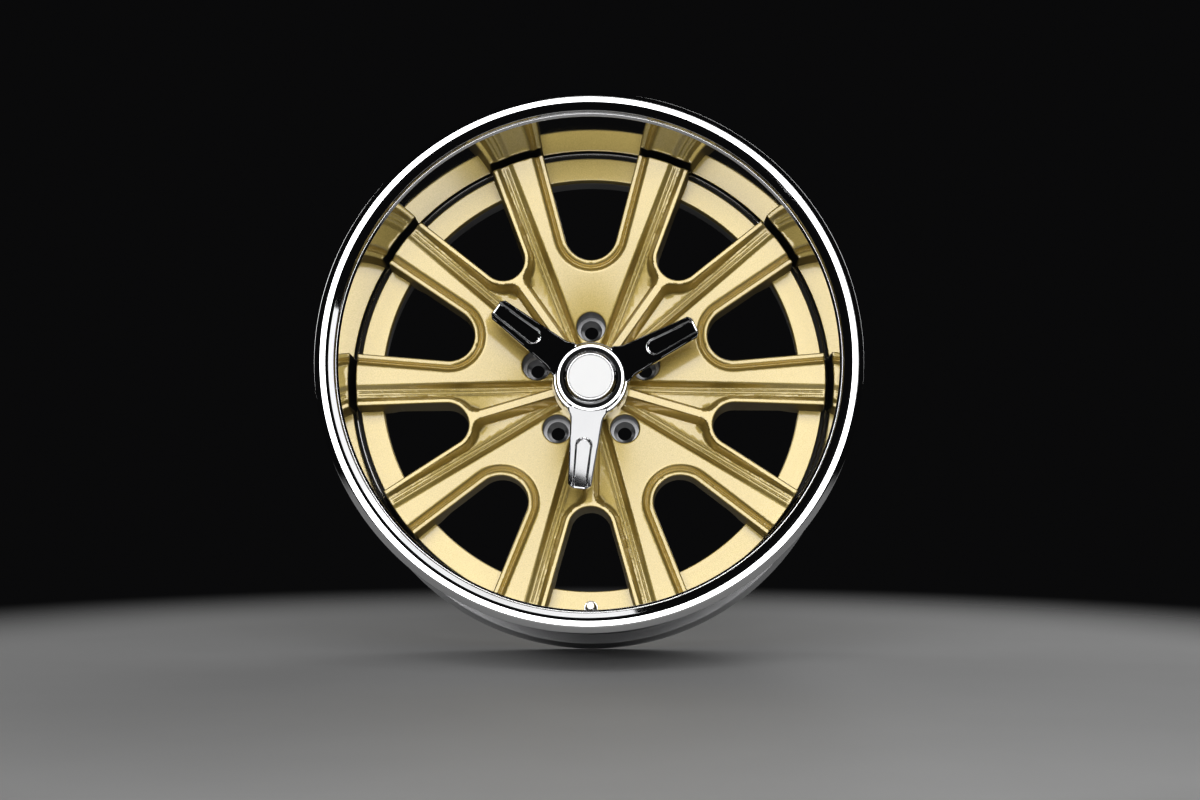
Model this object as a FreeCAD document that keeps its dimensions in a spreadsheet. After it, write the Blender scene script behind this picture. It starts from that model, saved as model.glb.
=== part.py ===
import FreeCAD, Part
import math
import os

import Sketcher
from FreeCAD import Placement, Rotation, Vector

# Sizes in millimetres and degrees. Depths count back from the front edge of the rim.
SIZES = [
    ("hub_depth", 196, "front edge to hub mounting face"),
    ("rim_width", 280, "front edge to rear edge of the rim"),
    ("flange_radius", 272, "outer edge of both flanges"),
    ("crest_inset", 5.6, "outer edge of a flange to its foremost ring"),
    ("crest_width", 5.2, "width of that ring"),
    ("crest_rounding", 3, "rounding beside that ring"),
    ("flange_setback", 4, "crest to outer edge of a flange"),
    ("flange_thickness", 12.5, "front edge to the tyre side of a flange"),
    ("flange_roll", 5, "width of the outer edge of a flange"),
    ("flange_height", 18, "bead seat to outer edge of a flange"),
    ("bead_fall", 2, "fall of the bead seat towards the middle"),
    ("bead_length", 24, "length of the bead seat"),
    ("bead_chamfer", 3, "slope between flange and bead seat"),
    ("hump_height", 1.4, "height of the ring that keeps the bead"),
    ("hump_run", 4, "length of each flank of that ring"),
    ("step_inset", 0.6, "outside of the barrel to the small step of the lip"),
    ("step_depth", 10.6, "depth of the small step of the lip"),
    ("step_land", 2, "width of the small step"),
    ("lip_front_wall", 3.2, "lip wall behind the step"),
    ("lip_rear_wall", 5, "lip wall at the shoulder"),
    ("shoulder_depth", 166, "front face of the shoulder"),
    ("shoulder_thickness", 6, "thickness of the shoulder"),
    ("well_drop", 24.5, "outside of the barrel to the drop centre"),
    ("rim_wall", 4.5, "wall of the drop centre"),
    ("ramp_length", 28, "length of the ramp behind the drop centre"),
    ("ramp_shift", 2, "inside of the ramp behind its outside"),
    ("rear_land", 3.5, "flat wall between the ramp and the rear hump"),
    ("rear_wall", 3.5, "wall of the rear barrel"),
    ("register_clearance", 0.2, "gap between lip and fitted band"),
    ("register_width", 5, "width of the fitted band at the rear of the hoop"),
    ("hoop_step", 2.8, "fitted band to the outside of the hoop"),
    ("hoop_width", 24.5, "width of the hoop's face"),
    ("hoop_thickness", 12, "thickness of the hoop"),
    ("hoop_bevel", 5, "slope from the hoop to the rear of the spokes"),
    ("spoke_end_inset", 1.4, "outside of the hoop to the spoke ends"),
    ("spoke_end_depth", 119.5, "raised face at the spoke ends"),
    ("rib_knee_radius", 150, "radius where the raised face bends"),
    ("rib_knee_depth", 123, "raised face at that bend"),
    ("rib_root_height", 18, "raised face beside the cap above the hub land"),
    ("rib_width", 8, "width of a rib"),
    ("rib_blend", 6, "plan radius between rib and bead"),
    ("face_rim_depth", 120, "main face at the spoke ends"),
    ("hub_thickness", 39, "hub land to hub mounting face"),
    ("floor_drop", 7, "floor behind the main face"),
    ("hub_land_width", 3, "flat land beside the ribs' inner ends"),
    ("cap_seat_radius", 41, "inner ends of the ribs"),
    ("spoke_count", 10, "spokes of the centre"),
    ("plain_centre", 157.7, "arc centre of a plain window"),
    ("plain_arc", 27.7, "arc radius of a plain window"),
    ("plain_angle", 15, "half angle of a plain window"),
    ("ribbed_centre", 156.9, "arc centre of a ribbed window"),
    ("ribbed_arc", 22.7, "arc radius of a ribbed window"),
    ("ribbed_angle", 15.5, "half angle of a ribbed window"),
    ("plain_bead", 4.2, "width of the bead round a plain window"),
    ("groove_width", 7, "width of the groove beside that bead"),
    ("groove_depth", 3.6, "depth of that groove"),
    ("ribbed_bead", 5.5, "width of the bead round a ribbed window"),
    ("petal_half_width", 39.3, "petal edge from the middle of the petal"),
    ("petal_radius", 120, "distance from the axis where that is measured"),
    ("petal_spread", 0.385, "spread of the petal edge"),
    ("petal_slope_width", 10.5, "width of the slope beside a petal"),
    ("back_rim_inset", 19.5, "inside of the hoop to the rear face of the spokes"),
    ("back_rim_lift", 8, "rear face of the spokes there, in front of the shoulder"),
    ("back_hub_radius", 100, "inner end of the rear face of the spokes"),
    ("hub_pad_height", 19, "hub mounting face behind that end"),
    ("hub_pad_radius", 84, "hub mounting face"),
    ("bore_radius", 34, "bore for the centre cap"),
    ("pilot_radius", 35.3, "bore for the car's hub"),
    ("pilot_length", 18, "length of that bore"),
    ("ring_groove_bite", 1, "bore to the bottom of its snap ring groove"),
    ("ring_groove_land", 7, "groove to the bore for the car's hub"),
    ("ring_groove_width", 3, "width of the snap ring groove"),
    ("lug_count", 5, "lug holes"),
    ("lug_circle_radius", 60.325, "circle of the lug holes"),
    ("lug_pocket_radius", 15, "pocket of a lug hole"),
    ("lug_flange", 15, "metal between pocket and hub mounting face"),
    ("lug_cone_radius", 11.5, "mouth of the lug seat"),
    ("lug_hole_radius", 7.5, "through hole for a stud"),
    ("weld_leg", 3.4, "leg of the ring weld"),
    ("cap_clearance", 1.5, "gap between cap skirt and ribs"),
    ("cap_height", 29, "hub land to the front face of the cap body"),
    ("cap_plate", 4, "thickness of that face"),
    ("plug_clearance", 0.3, "gap between plug and hub bore"),
    ("plug_setback", 20, "rear end of the plug to hub mounting face"),
    ("plug_wall", 5.7, "wall of the plug"),
    ("cap_edge", 2, "rounding of the cap's front edge"),
    ("seal_spacing", 7, "groove for the rubber ring to the snap ring groove"),
    ("seal_groove_width", 3.2, "width of the groove for the rubber ring"),
    ("seal_section_radius", 1.4, "section of the rubber ring"),
    ("snap_groove_bite", 1.3, "depth of the plug's snap ring groove"),
    ("snap_wire_radius", 1.2, "section of the snap ring"),
    ("snap_gap", 30, "opening of the snap ring"),
    ("spinner_radius", 36.8, "ring of the spinner"),
    ("spinner_height", 8, "height of that ring"),
    ("spinner_band", 7.3, "width of that ring"),
    ("spinner_plate", 4, "floor of the recess for the bezel"),
    ("ear_count", 3, "ears of the spinner"),
    ("ear_angle", 24.7, "direction of the first ear"),
    ("ear_bury", 3, "start of an ear within the ring"),
    ("ear_clearance", 1, "skirt of the cap to the rise of an ear"),
    ("ear_tip_radius", 119.75, "tips of the ears"),
    ("ear_root_half_width", 17.5, "half width of an ear at the ring"),
    ("ear_tip_half_width", 11.7, "half width of an ear at its tip"),
    ("ear_corner", 4, "diagonal corners of the tip"),
    ("ear_root_height", 6.5, "front of an ear at the ring above the cap"),
    ("ear_rise", 28, "rise of an ear's front to its tip"),
    ("ear_tip_thickness", 8.5, "thickness of an ear at its tip"),
    ("flute_start", 65, "inner end of the flute"),
    ("flute_root_half_width", 8.9, "half width of the flute there"),
    ("flute_tip_half_width", 7.3, "half width of the flute at the tip"),
    ("flute_depth", 3, "depth of the flute"),
    ("screw_circle_radius", 20, "circle of the spinner screws"),
    ("screw_radius", 2.5, "shank of a spinner screw"),
    ("screw_head_radius", 4.4, "head of a spinner screw"),
    ("screw_head_height", 3, "height of that head"),
    ("screw_bite", 2, "screw end within the spinner"),
    ("bezel_clearance", 0.2, "gap between bezel and recess"),
    ("bezel_height", 11.4, "height of the bezel"),
    ("bezel_foot", 2.4, "height of its foot"),
    ("bezel_foot_width", 2.7, "width of its foot"),
    ("bezel_step", 3, "height of its middle step"),
    ("bezel_step_width", 2.4, "width of its middle step"),
    ("bezel_rim", 1.8, "width of its rim round the disc"),
    ("disc_thickness", 1.2, "thickness of the white disc"),
    ("valve_inset", 8, "outside of the hoop to the valve"),
    ("stem_radius", 4, "thread of the valve stem"),
    ("neck_step", 0.8, "thread to the narrow end of the stem"),
    ("stem_stand", 11, "hoop face to the shoulder of the narrow end"),
    ("neck_length", 10, "length of the narrow end"),
    ("head_overlap", 1.05, "hole in the shoulder to the rim of the stem's head"),
    ("stem_head_height", 3, "height of the head"),
    ("stem_bore_radius", 2.2, "bore of the stem"),
    ("grommet_wall", 1.75, "seal between stem and shoulder"),
    ("grommet_thickness", 3, "seal between head and shoulder"),
    ("nut_wall", 2.3, "thread to the corners of the valve nut"),
    ("nut_height", 5, "height of the valve nut"),
    ("nut_clearance", 0.5, "gap between nut and hoop"),
    ("valve_washer_thickness", 1, "washer under the nut"),
    ("core_pin_radius", 0.6, "pin of the valve core"),
    ("core_pin_setback", 1, "end of the stem to the pin"),
    ("core_setback", 4, "end of the stem to the core's body"),
    ("core_length", 19, "length of the core's body"),
    ("valve_cap_wall", 1.1, "wall of the valve cap"),
    ("valve_cap_end", 2, "end wall of the valve cap"),
    ("cap_seal_thickness", 1.5, "rubber disc in the valve cap"),
]

# Places that follow from the sizes.
PLACES = [
    ("crest_radius", "flange_radius - crest_inset"),
    ("bead_radius", "flange_radius - flange_height"),
    ("barrel_radius", "bead_radius - bead_fall"),
    ("step_radius", "barrel_radius - step_inset"),
    ("lip_front_radius", "barrel_radius - lip_front_wall"),
    ("lip_rear_radius", "barrel_radius - lip_rear_wall"),
    ("rear_bore_radius", "barrel_radius - rear_wall"),
    ("well_radius", "barrel_radius - well_drop"),
    ("bead_end", "flange_thickness + bead_length"),
    ("hump_end", "bead_end + hump_run + hump_run"),
    ("ramp_end", "rim_width - hump_end - rear_land"),
    ("well_end", "ramp_end - ramp_length"),
    ("register_radius", "lip_rear_radius - register_clearance"),
    ("hoop_outer_radius", "register_radius - hoop_step"),
    ("hoop_inner_radius", "hoop_outer_radius - hoop_width"),
    ("hoop_face_depth", "shoulder_depth - hoop_thickness"),
    ("spoke_end_radius", "hoop_outer_radius - spoke_end_inset"),
    ("back_rim_radius", "hoop_inner_radius - back_rim_inset"),
    ("back_rim_depth", "shoulder_depth - back_rim_lift"),
    ("back_hub_depth", "hub_depth - hub_pad_height"),
    ("face_hub_depth", "hub_depth - hub_thickness"),
    ("rib_root_depth", "face_hub_depth - rib_root_height"),
    ("hub_land_radius", "cap_seat_radius + hub_land_width"),
    ("lug_seat_depth", "hub_depth - lug_flange"),
    ("ring_groove_radius", "bore_radius + ring_groove_bite"),
    ("ring_groove_depth", "hub_depth - pilot_length - ring_groove_land - ring_groove_width"),
    ("seal_groove_depth", "ring_groove_depth - seal_spacing"),
    ("cap_radius", "cap_seat_radius - cap_clearance"),
    ("cap_face_depth", "face_hub_depth - cap_height"),
    ("cap_plug_radius", "bore_radius - plug_clearance"),
    ("cap_plug_end", "hub_depth - plug_setback"),
    ("cap_cavity_radius", "cap_plug_radius - plug_wall"),
    ("snap_groove_radius", "cap_plug_radius - snap_groove_bite"),
    ("spinner_front_depth", "cap_face_depth - spinner_height"),
    ("spinner_recess_radius", "spinner_radius - spinner_band"),
    ("spinner_recess_depth", "cap_face_depth - spinner_plate"),
    ("ear_root_depth", "cap_face_depth - ear_root_height"),
    ("ear_tip_depth", "ear_root_depth - ear_rise"),
    ("bezel_radius", "spinner_recess_radius - bezel_clearance"),
    ("bezel_step_radius", "bezel_radius - bezel_foot_width"),
    ("bezel_top_radius", "bezel_step_radius - bezel_step_width"),
    ("bezel_front_depth", "spinner_recess_depth - bezel_height"),
    ("disc_radius", "bezel_top_radius - bezel_rim"),
    ("valve_radius", "hoop_outer_radius - valve_inset"),
    ("stem_neck_radius", "stem_radius - neck_step"),
    ("stem_neck_depth", "hoop_face_depth - stem_stand"),
    ("stem_tip_depth", "stem_neck_depth - neck_length"),
    ("valve_hole_radius", "stem_radius + grommet_wall"),
    ("stem_head_radius", "valve_hole_radius + head_overlap"),
    ("nut_radius", "stem_radius + nut_wall"),
    ("hoop_hole_radius", "nut_radius + nut_clearance"),
    ("core_front_depth", "stem_tip_depth + core_setback"),
    ("core_rear_depth", "core_front_depth + core_length"),
    ("valve_cap_radius", "stem_neck_radius + valve_cap_wall"),
    ("valve_cap_depth", "stem_tip_depth - cap_seal_thickness - valve_cap_end"),
]

doc = FreeCAD.newDocument("forged_wheel")
sheet = doc.addObject("Spreadsheet::Sheet", "Sizes")
ROWS = SIZES + [(alias, "=" + text, alias.replace("_", " ")) for alias, text in PLACES]
for row, (alias, content, note) in enumerate(ROWS, 1):
    sheet.set(f"A{row}", note)
    sheet.set(f"B{row}", str(content))
    sheet.setAlias(f"B{row}", alias)
doc.recompute()



def size(alias):
    """Number kept in the sheet under a name."""
    return float(sheet.get(alias))


def value(text):
    """Sum of the names and numbers in a text such as "cap_radius - 2"."""
    total, sign = 0.0, 1.0
    for word in text.split():
        if word in ("+", "-"):
            sign = 1.0 if word == "+" else -1.0
        else:
            total += sign * (size(word) if word[0].isalpha() else float(word))
    return total


def bound(text):
    """The same text as an expression on the sheet."""
    return " ".join("Sizes." + word if word[0].isalpha() else word for word in text.split())


def origin_plane(body, role):
    """Origin plane of a body."""
    return next(item for item in body.Origin.OriginFeatures if item.Role == role)


def turned_edges(shape, corners):
    """Names of the round edges that pass through the given outline corners."""
    names = []
    for number, edge in enumerate(shape.Edges, 1):
        if not isinstance(edge.Curve, Part.Circle):
            continue
        for corner in corners:
            if abs(edge.Curve.Radius - corner.x) < 1e-4 and abs(edge.Curve.Center.y - corner.y) < 1e-4:
                names.append(f"Edge{number}")
                break
    return names


def turned(label, outline, rounds=(), below="0"):
    """Body turned about the wheel's axis, or about a line below it.

    The outline is a list of (radius, depth) texts. Rounds are (size name, corner numbers).
    """
    body = doc.addObject("PartDesign::Body", label)
    sketch = body.newObject("Sketcher::SketchObject", label + "_outline")
    sketch.AttachmentSupport = [(origin_plane(body, "XY_Plane"), "")]
    sketch.MapMode = "FlatFace"
    corners = [Vector(value(radius), value(depth), 0) for radius, depth in outline]
    for i, corner in enumerate(corners):
        sketch.addGeometry(Part.LineSegment(corner, corners[(i + 1) % len(corners)]), False)
    for i, (radius, depth) in enumerate(outline):
        sketch.addConstraint(Sketcher.Constraint("Coincident", (i - 1) % len(corners), 2, i, 1))
        for kind, axis, text in (("DistanceX", -2, radius), ("DistanceY", -1, depth)):
            if text == "0":
                sketch.addConstraint(Sketcher.Constraint("PointOnObject", i, 1, axis))
                continue
            number = sketch.addConstraint(Sketcher.Constraint(kind, -1, 1, i, 1, value(text)))
            sketch.setExpression(f"Constraints[{number}]", bound(text))
    solid = body.newObject("PartDesign::Revolution", label + "_turning")
    solid.Profile = sketch
    solid.ReferenceAxis = (sketch, ["V_Axis"])
    solid.Angle = 360
    doc.recompute()
    for radius, places in rounds:
        names = turned_edges(solid.Shape, [corners[i] for i in places])
        fillet = body.newObject("PartDesign::Fillet", label + "_rounding")
        fillet.Base = (solid, names)
        fillet.setExpression("Radius", bound(radius))
        doc.recompute()
        solid = fillet
    body.setExpression("Placement.Base.y", "-Sizes.hub_depth")
    if below != "0":
        body.setExpression("Placement.Base.z", "-(" + bound(below) + ")")
    doc.recompute()
    return body


def solid_feature(label, shape):
    """Feature that carries a shape made from sizes of the sheet, set back to the hub face."""
    feature = doc.addObject("Part::Feature", label)
    feature.Shape = shape
    feature.Placement = Placement(Vector(0, -size("hub_depth"), 0), Rotation())
    return feature


def around(shape, count, first):
    """Copies of a shape made for the +X direction, spread round the axis."""
    copies = []
    for i in range(count):
        copy = shape.copy()
        copy.rotate(Vector(), Vector(0, -1, 0), first + 360.0 * i / count)
        copies.append(copy)
    return Part.makeCompound(copies)


def flat(along, across, depth):
    """Point of a plan drawn for the +X direction."""
    return Vector(along, depth, across)


def revolved(points):
    """Solid of revolution from (radius, depth) numbers."""
    wire = Part.makePolygon([Vector(r, d, 0) for r, d in points] + [Vector(points[0][0], points[0][1], 0)])
    return Part.Face(wire).revolve(Vector(), Vector(0, 1, 0), 360)


def prism(points, lateral, start, end):
    """Straight prism from (a, b) numbers.

    A plan outline (along, across) runs from depth start to end. A side outline (along, depth) runs
    across from start to end.
    """
    if lateral:
        corners, run = [Vector(a, b, start) for a, b in points], Vector(0, 0, end - start)
    else:
        corners, run = [flat(a, b, start) for a, b in points], Vector(0, end - start, 0)
    return Part.Face(Part.makePolygon(corners + corners[:1])).extrude(run)


# Forged centre
REACH = size("flange_radius")
FRONT = 0.5 * size("ear_tip_depth")
BACK = size("hub_depth") + size("lug_flange")
WINDOWS = size("spoke_count") / 2
PITCH = math.radians(180.0 / WINDOWS)
SECTORS = int(WINDOWS)
PLAIN_DIRECTION = 90.0


def window_wire(kind, spread, depth):
    """Closed U outline of a window, widened by a distance, at one depth."""
    centre, arc = size(kind + "_centre"), size(kind + "_arc") + spread
    slant = math.radians(size(kind + "_angle"))
    foot, half = centre - arc * math.sin(slant), arc * math.cos(slant)
    wide = half + (REACH - foot) * math.tan(slant)
    left, right = flat(foot, half, depth), flat(foot, -half, depth)
    far_left, far_right = flat(REACH, wide, depth), flat(REACH, -wide, depth)
    bottom = Part.Arc(left, flat(centre - arc, 0, depth), right).toShape()
    return Part.Wire([bottom, Part.makeLine(right, far_right),
                      Part.makeLine(far_right, far_left), Part.makeLine(far_left, left)])


def window_block(kind, spread, start, end):
    """Straight block of a window, widened by a distance, between two depths."""
    return Part.Face(window_wire(kind, spread, start)).extrude(Vector(0, end - start, 0))


def window(kind):
    """Window through the centre inside the hoop, open above the hoop to the spoke ends."""
    inside = size("hoop_inner_radius")
    room = revolved([(0, FRONT), (REACH, FRONT), (REACH, size("hoop_face_depth")),
                     (inside, size("hoop_face_depth")), (inside, BACK), (0, BACK)])
    return window_block(kind, 0, FRONT, BACK).common(room)


def recess_half(side):
    """Edges from the hub outwards along one rib and the bead of its window, in plan."""
    half, blend = size("rib_width") / 2, size("rib_blend")
    centre, arc = size("ribbed_centre"), size("ribbed_arc") + size("ribbed_bead")
    slant = math.radians(size("ribbed_angle"))
    blend_at = centre - math.sqrt((arc + blend) ** 2 - (half + blend) ** 2)
    share = arc / (arc + blend)
    touch = (centre - (centre - blend_at) * share, (half + blend) * share)
    foot = (centre - arc * math.sin(slant), arc * math.cos(slant))
    turn = (math.atan2(touch[1], centre - touch[0]) + math.atan2(foot[1], centre - foot[0])) / 2
    middle = (math.atan2(touch[1] - (half + blend), touch[0] - blend_at) - math.pi / 2) / 2
    marks = {
        "hub": (0.5 * size("bore_radius"), half),
        "rib": (blend_at, half),
        "blend": (blend_at + blend * math.cos(middle), half + blend + blend * math.sin(middle)),
        "touch": touch,
        "arc": (centre - arc * math.cos(turn), arc * math.sin(turn)),
        "foot": foot,
        "far": (REACH * 1.05, foot[1] + (REACH * 1.05 - foot[0]) * math.tan(slant)),
    }
    placed = {}
    for name, (along, across) in marks.items():
        c, s = math.cos(PITCH), math.sin(PITCH)
        placed[name] = flat(along * c + across * s, side * (along * s - across * c), FRONT)
    edges = [Part.makeLine(placed["hub"], placed["rib"]),
             Part.Arc(placed["rib"], placed["blend"], placed["touch"]).toShape(),
             Part.Arc(placed["touch"], placed["arc"], placed["foot"]).toShape(),
             Part.makeLine(placed["foot"], placed["far"])]
    return edges, placed


def recess_block():
    """Straight block of the sunk field between two ribs."""
    upper, start = recess_half(1)
    lower, end = recess_half(-1)
    edges = upper + lower
    edges += [Part.makeLine(start[name], end[name]) for name in ("far", "hub")]
    wire = Part.Wire(Part.__sortEdges__(edges))
    return Part.Face(wire).extrude(Vector(0, BACK - FRONT, 0))


def face_level(radius):
    """Depth of the main face at a radius."""
    inner, outer = size("hub_land_radius"), size("spoke_end_radius")
    share = (radius - inner) / (outer - inner)
    return size("face_hub_depth") + (size("face_rim_depth") - size("face_hub_depth")) * share


def space_before(drop, from_axis):
    """Space in front of the main face, set back by a drop."""
    inner = size("hub_land_radius")
    points = [(inner, FRONT), (REACH, FRONT), (REACH, face_level(REACH) + drop),
              (inner, face_level(inner) + drop)]
    if from_axis:
        points = [(0, FRONT)] + points[1:] + [(0, face_level(inner) + drop)]
    return revolved(points)


def slope_space(side):
    """Space in front of the slope beside a petal."""
    def edge(along):
        return size("petal_half_width") + size("petal_spread") * (along - size("petal_radius"))

    def on_face(along, across, drop):
        return flat(along, side * across, face_level(math.hypot(along, across)) + drop)

    near, far = size("lug_circle_radius"), size("hoop_inner_radius")
    first = on_face(near, edge(near), 0)
    second = on_face(far, edge(far), 0)
    third = on_face(far, edge(far) + size("petal_slope_width"), size("floor_drop"))
    normal = (second - first).cross(third - first).normalize()
    if normal.y > 0:
        normal = normal * -1
    block = Part.makeBox(4 * REACH, 4 * REACH, 2 * REACH, Vector(-2 * REACH, -2 * REACH, 0))
    block.Placement = Placement(first, Rotation(Vector(0, 0, 1), normal))
    return block


def lug_pocket():
    """Pocket, seat and through hole of one lug."""
    seat, hole = size("lug_seat_depth"), size("lug_hole_radius")
    cone = (size("lug_cone_radius") - hole) * math.sqrt(3.0)
    shape = revolved([(0, FRONT), (size("lug_pocket_radius"), FRONT), (size("lug_pocket_radius"), seat),
                      (size("lug_cone_radius"), seat), (hole, seat + cone), (hole, BACK), (0, BACK)])
    shape.translate(flat(size("lug_circle_radius"), 0, 0))
    return shape


blank = turned("centre_blank", [
    ("bore_radius", "face_hub_depth"),
    ("cap_seat_radius", "face_hub_depth"),
    ("cap_seat_radius", "rib_root_depth"),
    ("rib_knee_radius", "rib_knee_depth"),
    ("spoke_end_radius", "spoke_end_depth"),
    ("spoke_end_radius", "hoop_face_depth"),
    ("hoop_outer_radius", "hoop_face_depth"),
    ("hoop_outer_radius", "shoulder_depth - register_width"),
    ("register_radius", "shoulder_depth - register_width"),
    ("register_radius", "shoulder_depth"),
    ("hoop_inner_radius - hoop_bevel", "shoulder_depth"),
    ("back_rim_radius", "back_rim_depth"),
    ("back_hub_radius", "back_hub_depth"),
    ("hub_pad_radius", "hub_depth"),
    ("pilot_radius", "hub_depth"),
    ("pilot_radius", "hub_depth - pilot_length"),
    ("bore_radius", "hub_depth - pilot_length"),
    ("bore_radius", "ring_groove_depth + ring_groove_width"),
    ("ring_groove_radius", "ring_groove_depth + ring_groove_width"),
    ("ring_groove_radius", "ring_groove_depth"),
    ("bore_radius", "ring_groove_depth"),
])
field = recess_block()
floor = field.common(space_before(size("floor_drop"), False))
groove_space = space_before(size("groove_depth"), False)
groove = window_block("plain", size("plain_bead") + size("groove_width"), FRONT, BACK).common(groove_space)
groove = groove.cut(window_block("plain", size("plain_bead"), FRONT, BACK))
ribbed_direction = PLAIN_DIRECTION + math.degrees(PITCH)
valve_hole = Part.makeCylinder(size("hoop_hole_radius"), BACK - FRONT,
                               Vector(0, FRONT, -size("valve_radius")), Vector(0, 1, 0))
CUTS = [
    ("main_face_cut", around(field.common(space_before(0, True)), SECTORS, PLAIN_DIRECTION)),
    ("left_floor_cut", around(floor.common(slope_space(1)), SECTORS, PLAIN_DIRECTION)),
    ("right_floor_cut", around(floor.common(slope_space(-1)), SECTORS, PLAIN_DIRECTION)),
    ("groove_cut", around(groove, SECTORS, PLAIN_DIRECTION)),
    ("plain_window_cut", around(window("plain"), SECTORS, PLAIN_DIRECTION)),
    ("ribbed_window_cut", around(window("ribbed"), SECTORS, ribbed_direction)),
    ("lug_cut", around(lug_pocket(), int(size("lug_count")), PLAIN_DIRECTION)),
    ("valve_cut", valve_hole),
]
centre = blank
for label, shape in CUTS:
    cut = doc.addObject("Part::Cut", "centre_after_" + label)
    cut.Base, cut.Tool = centre, solid_feature(label, shape)
    centre = cut
doc.recompute()

# Rim barrel
barrel_blank = turned("barrel_blank", [
    ("crest_radius", "0"),
    ("flange_radius", "flange_setback"),
    ("flange_radius", "flange_setback + flange_roll"),
    ("flange_radius - flange_roll", "flange_thickness"),
    ("bead_radius + bead_chamfer", "flange_thickness"),
    ("bead_radius", "flange_thickness + bead_chamfer"),
    ("bead_radius - bead_fall", "bead_end"),
    ("barrel_radius + hump_height", "bead_end + hump_run"),
    ("barrel_radius", "hump_end"),
    ("barrel_radius", "shoulder_depth + shoulder_thickness"),
    ("well_radius", "shoulder_depth + shoulder_thickness"),
    ("well_radius", "well_end"),
    ("barrel_radius", "ramp_end"),
    ("barrel_radius", "rim_width - hump_end"),
    ("barrel_radius + hump_height", "rim_width - bead_end - hump_run"),
    ("bead_radius - bead_fall", "rim_width - bead_end"),
    ("bead_radius", "rim_width - flange_thickness - bead_chamfer"),
    ("bead_radius + bead_chamfer", "rim_width - flange_thickness"),
    ("flange_radius - flange_roll", "rim_width - flange_thickness"),
    ("flange_radius", "rim_width - flange_setback - flange_roll"),
    ("flange_radius", "rim_width - flange_setback"),
    ("crest_radius", "rim_width"),
    ("crest_radius - crest_width", "rim_width"),
    ("rear_bore_radius", "rim_width - flange_thickness"),
    ("rear_bore_radius", "ramp_end + ramp_shift"),
    ("well_radius - rim_wall", "well_end + ramp_shift"),
    ("well_radius - rim_wall", "shoulder_depth"),
    ("lip_rear_radius", "shoulder_depth"),
    ("lip_front_radius", "step_depth + step_land"),
    ("step_radius - step_land", "step_depth"),
    ("step_radius", "step_depth"),
    ("crest_radius - crest_width", "0"),
], rounds=[("crest_rounding", [0, 21, 22, 31])])
barrel = doc.addObject("Part::Cut", "rim_barrel")
valve_bore = doc.addObject("Part::Cylinder", "barrel_valve_bore")
valve_bore.setExpression("Radius", "Sizes.valve_hole_radius")
valve_bore.setExpression("Height", "Sizes.shoulder_thickness * 4")
valve_bore.Placement = Placement(Vector(), Rotation(Vector(1, 0, 0), -90))
valve_bore.setExpression("Placement.Base.y", bound("shoulder_depth - shoulder_thickness - hub_depth"))
valve_bore.setExpression("Placement.Base.z", "-Sizes.valve_radius")
barrel.Base, barrel.Tool = barrel_blank, valve_bore

weld = turned("weld_bead", [
    ("well_radius - rim_wall - weld_leg", "shoulder_depth"),
    ("well_radius - rim_wall", "shoulder_depth"),
    ("well_radius - rim_wall", "shoulder_depth + weld_leg"),
])

# Centre cap
cap_body = turned("cap_body", [
    ("0", "cap_face_depth"),
    ("cap_radius", "cap_face_depth"),
    ("cap_radius", "face_hub_depth"),
    ("cap_plug_radius", "face_hub_depth"),
    ("cap_plug_radius", "seal_groove_depth"),
    ("bore_radius - seal_section_radius - seal_section_radius", "seal_groove_depth"),
    ("bore_radius - seal_section_radius - seal_section_radius", "seal_groove_depth + seal_groove_width"),
    ("cap_plug_radius", "seal_groove_depth + seal_groove_width"),
    ("cap_plug_radius", "ring_groove_depth"),
    ("snap_groove_radius", "ring_groove_depth"),
    ("snap_groove_radius", "ring_groove_depth + ring_groove_width"),
    ("cap_plug_radius", "ring_groove_depth + ring_groove_width"),
    ("cap_plug_radius", "cap_plug_end"),
    ("cap_cavity_radius", "cap_plug_end"),
    ("cap_cavity_radius", "cap_face_depth + cap_plate"),
    ("0", "cap_face_depth + cap_plate"),
], rounds=[("cap_edge", [1])])


def wire_ring(label, radius, section, depth, gap):
    """Ring of round section, open at the bottom by a gap in degrees."""
    ring = doc.addObject("Part::Torus", label)
    ring.setExpression("Radius1", bound(radius))
    ring.setExpression("Radius2", bound(section))
    ring.setExpression("Angle3", "360 - (" + bound(gap) + ")")
    turn = Rotation(Vector(1, 0, 0), -90) * Rotation(Vector(0, 0, 1), 90 + value(gap) / 2)
    ring.Placement = Placement(Vector(), turn)
    ring.setExpression("Placement.Base.y", bound(depth + " - hub_depth"))
    return ring


o_ring = wire_ring("cap_o_ring", "bore_radius - seal_section_radius", "seal_section_radius",
                   "seal_groove_depth + seal_section_radius", "0")
snap_ring = wire_ring("cap_snap_ring", "ring_groove_radius - snap_wire_radius", "snap_wire_radius",
                      "ring_groove_depth + snap_wire_radius", "snap_gap")

spinner_ring = turned("spinner_ring", [
    ("0", "spinner_recess_depth"),
    ("spinner_recess_radius", "spinner_recess_depth"),
    ("spinner_recess_radius", "spinner_front_depth"),
    ("spinner_radius", "spinner_front_depth"),
    ("spinner_radius", "cap_face_depth"),
    ("0", "cap_face_depth"),
])


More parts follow.
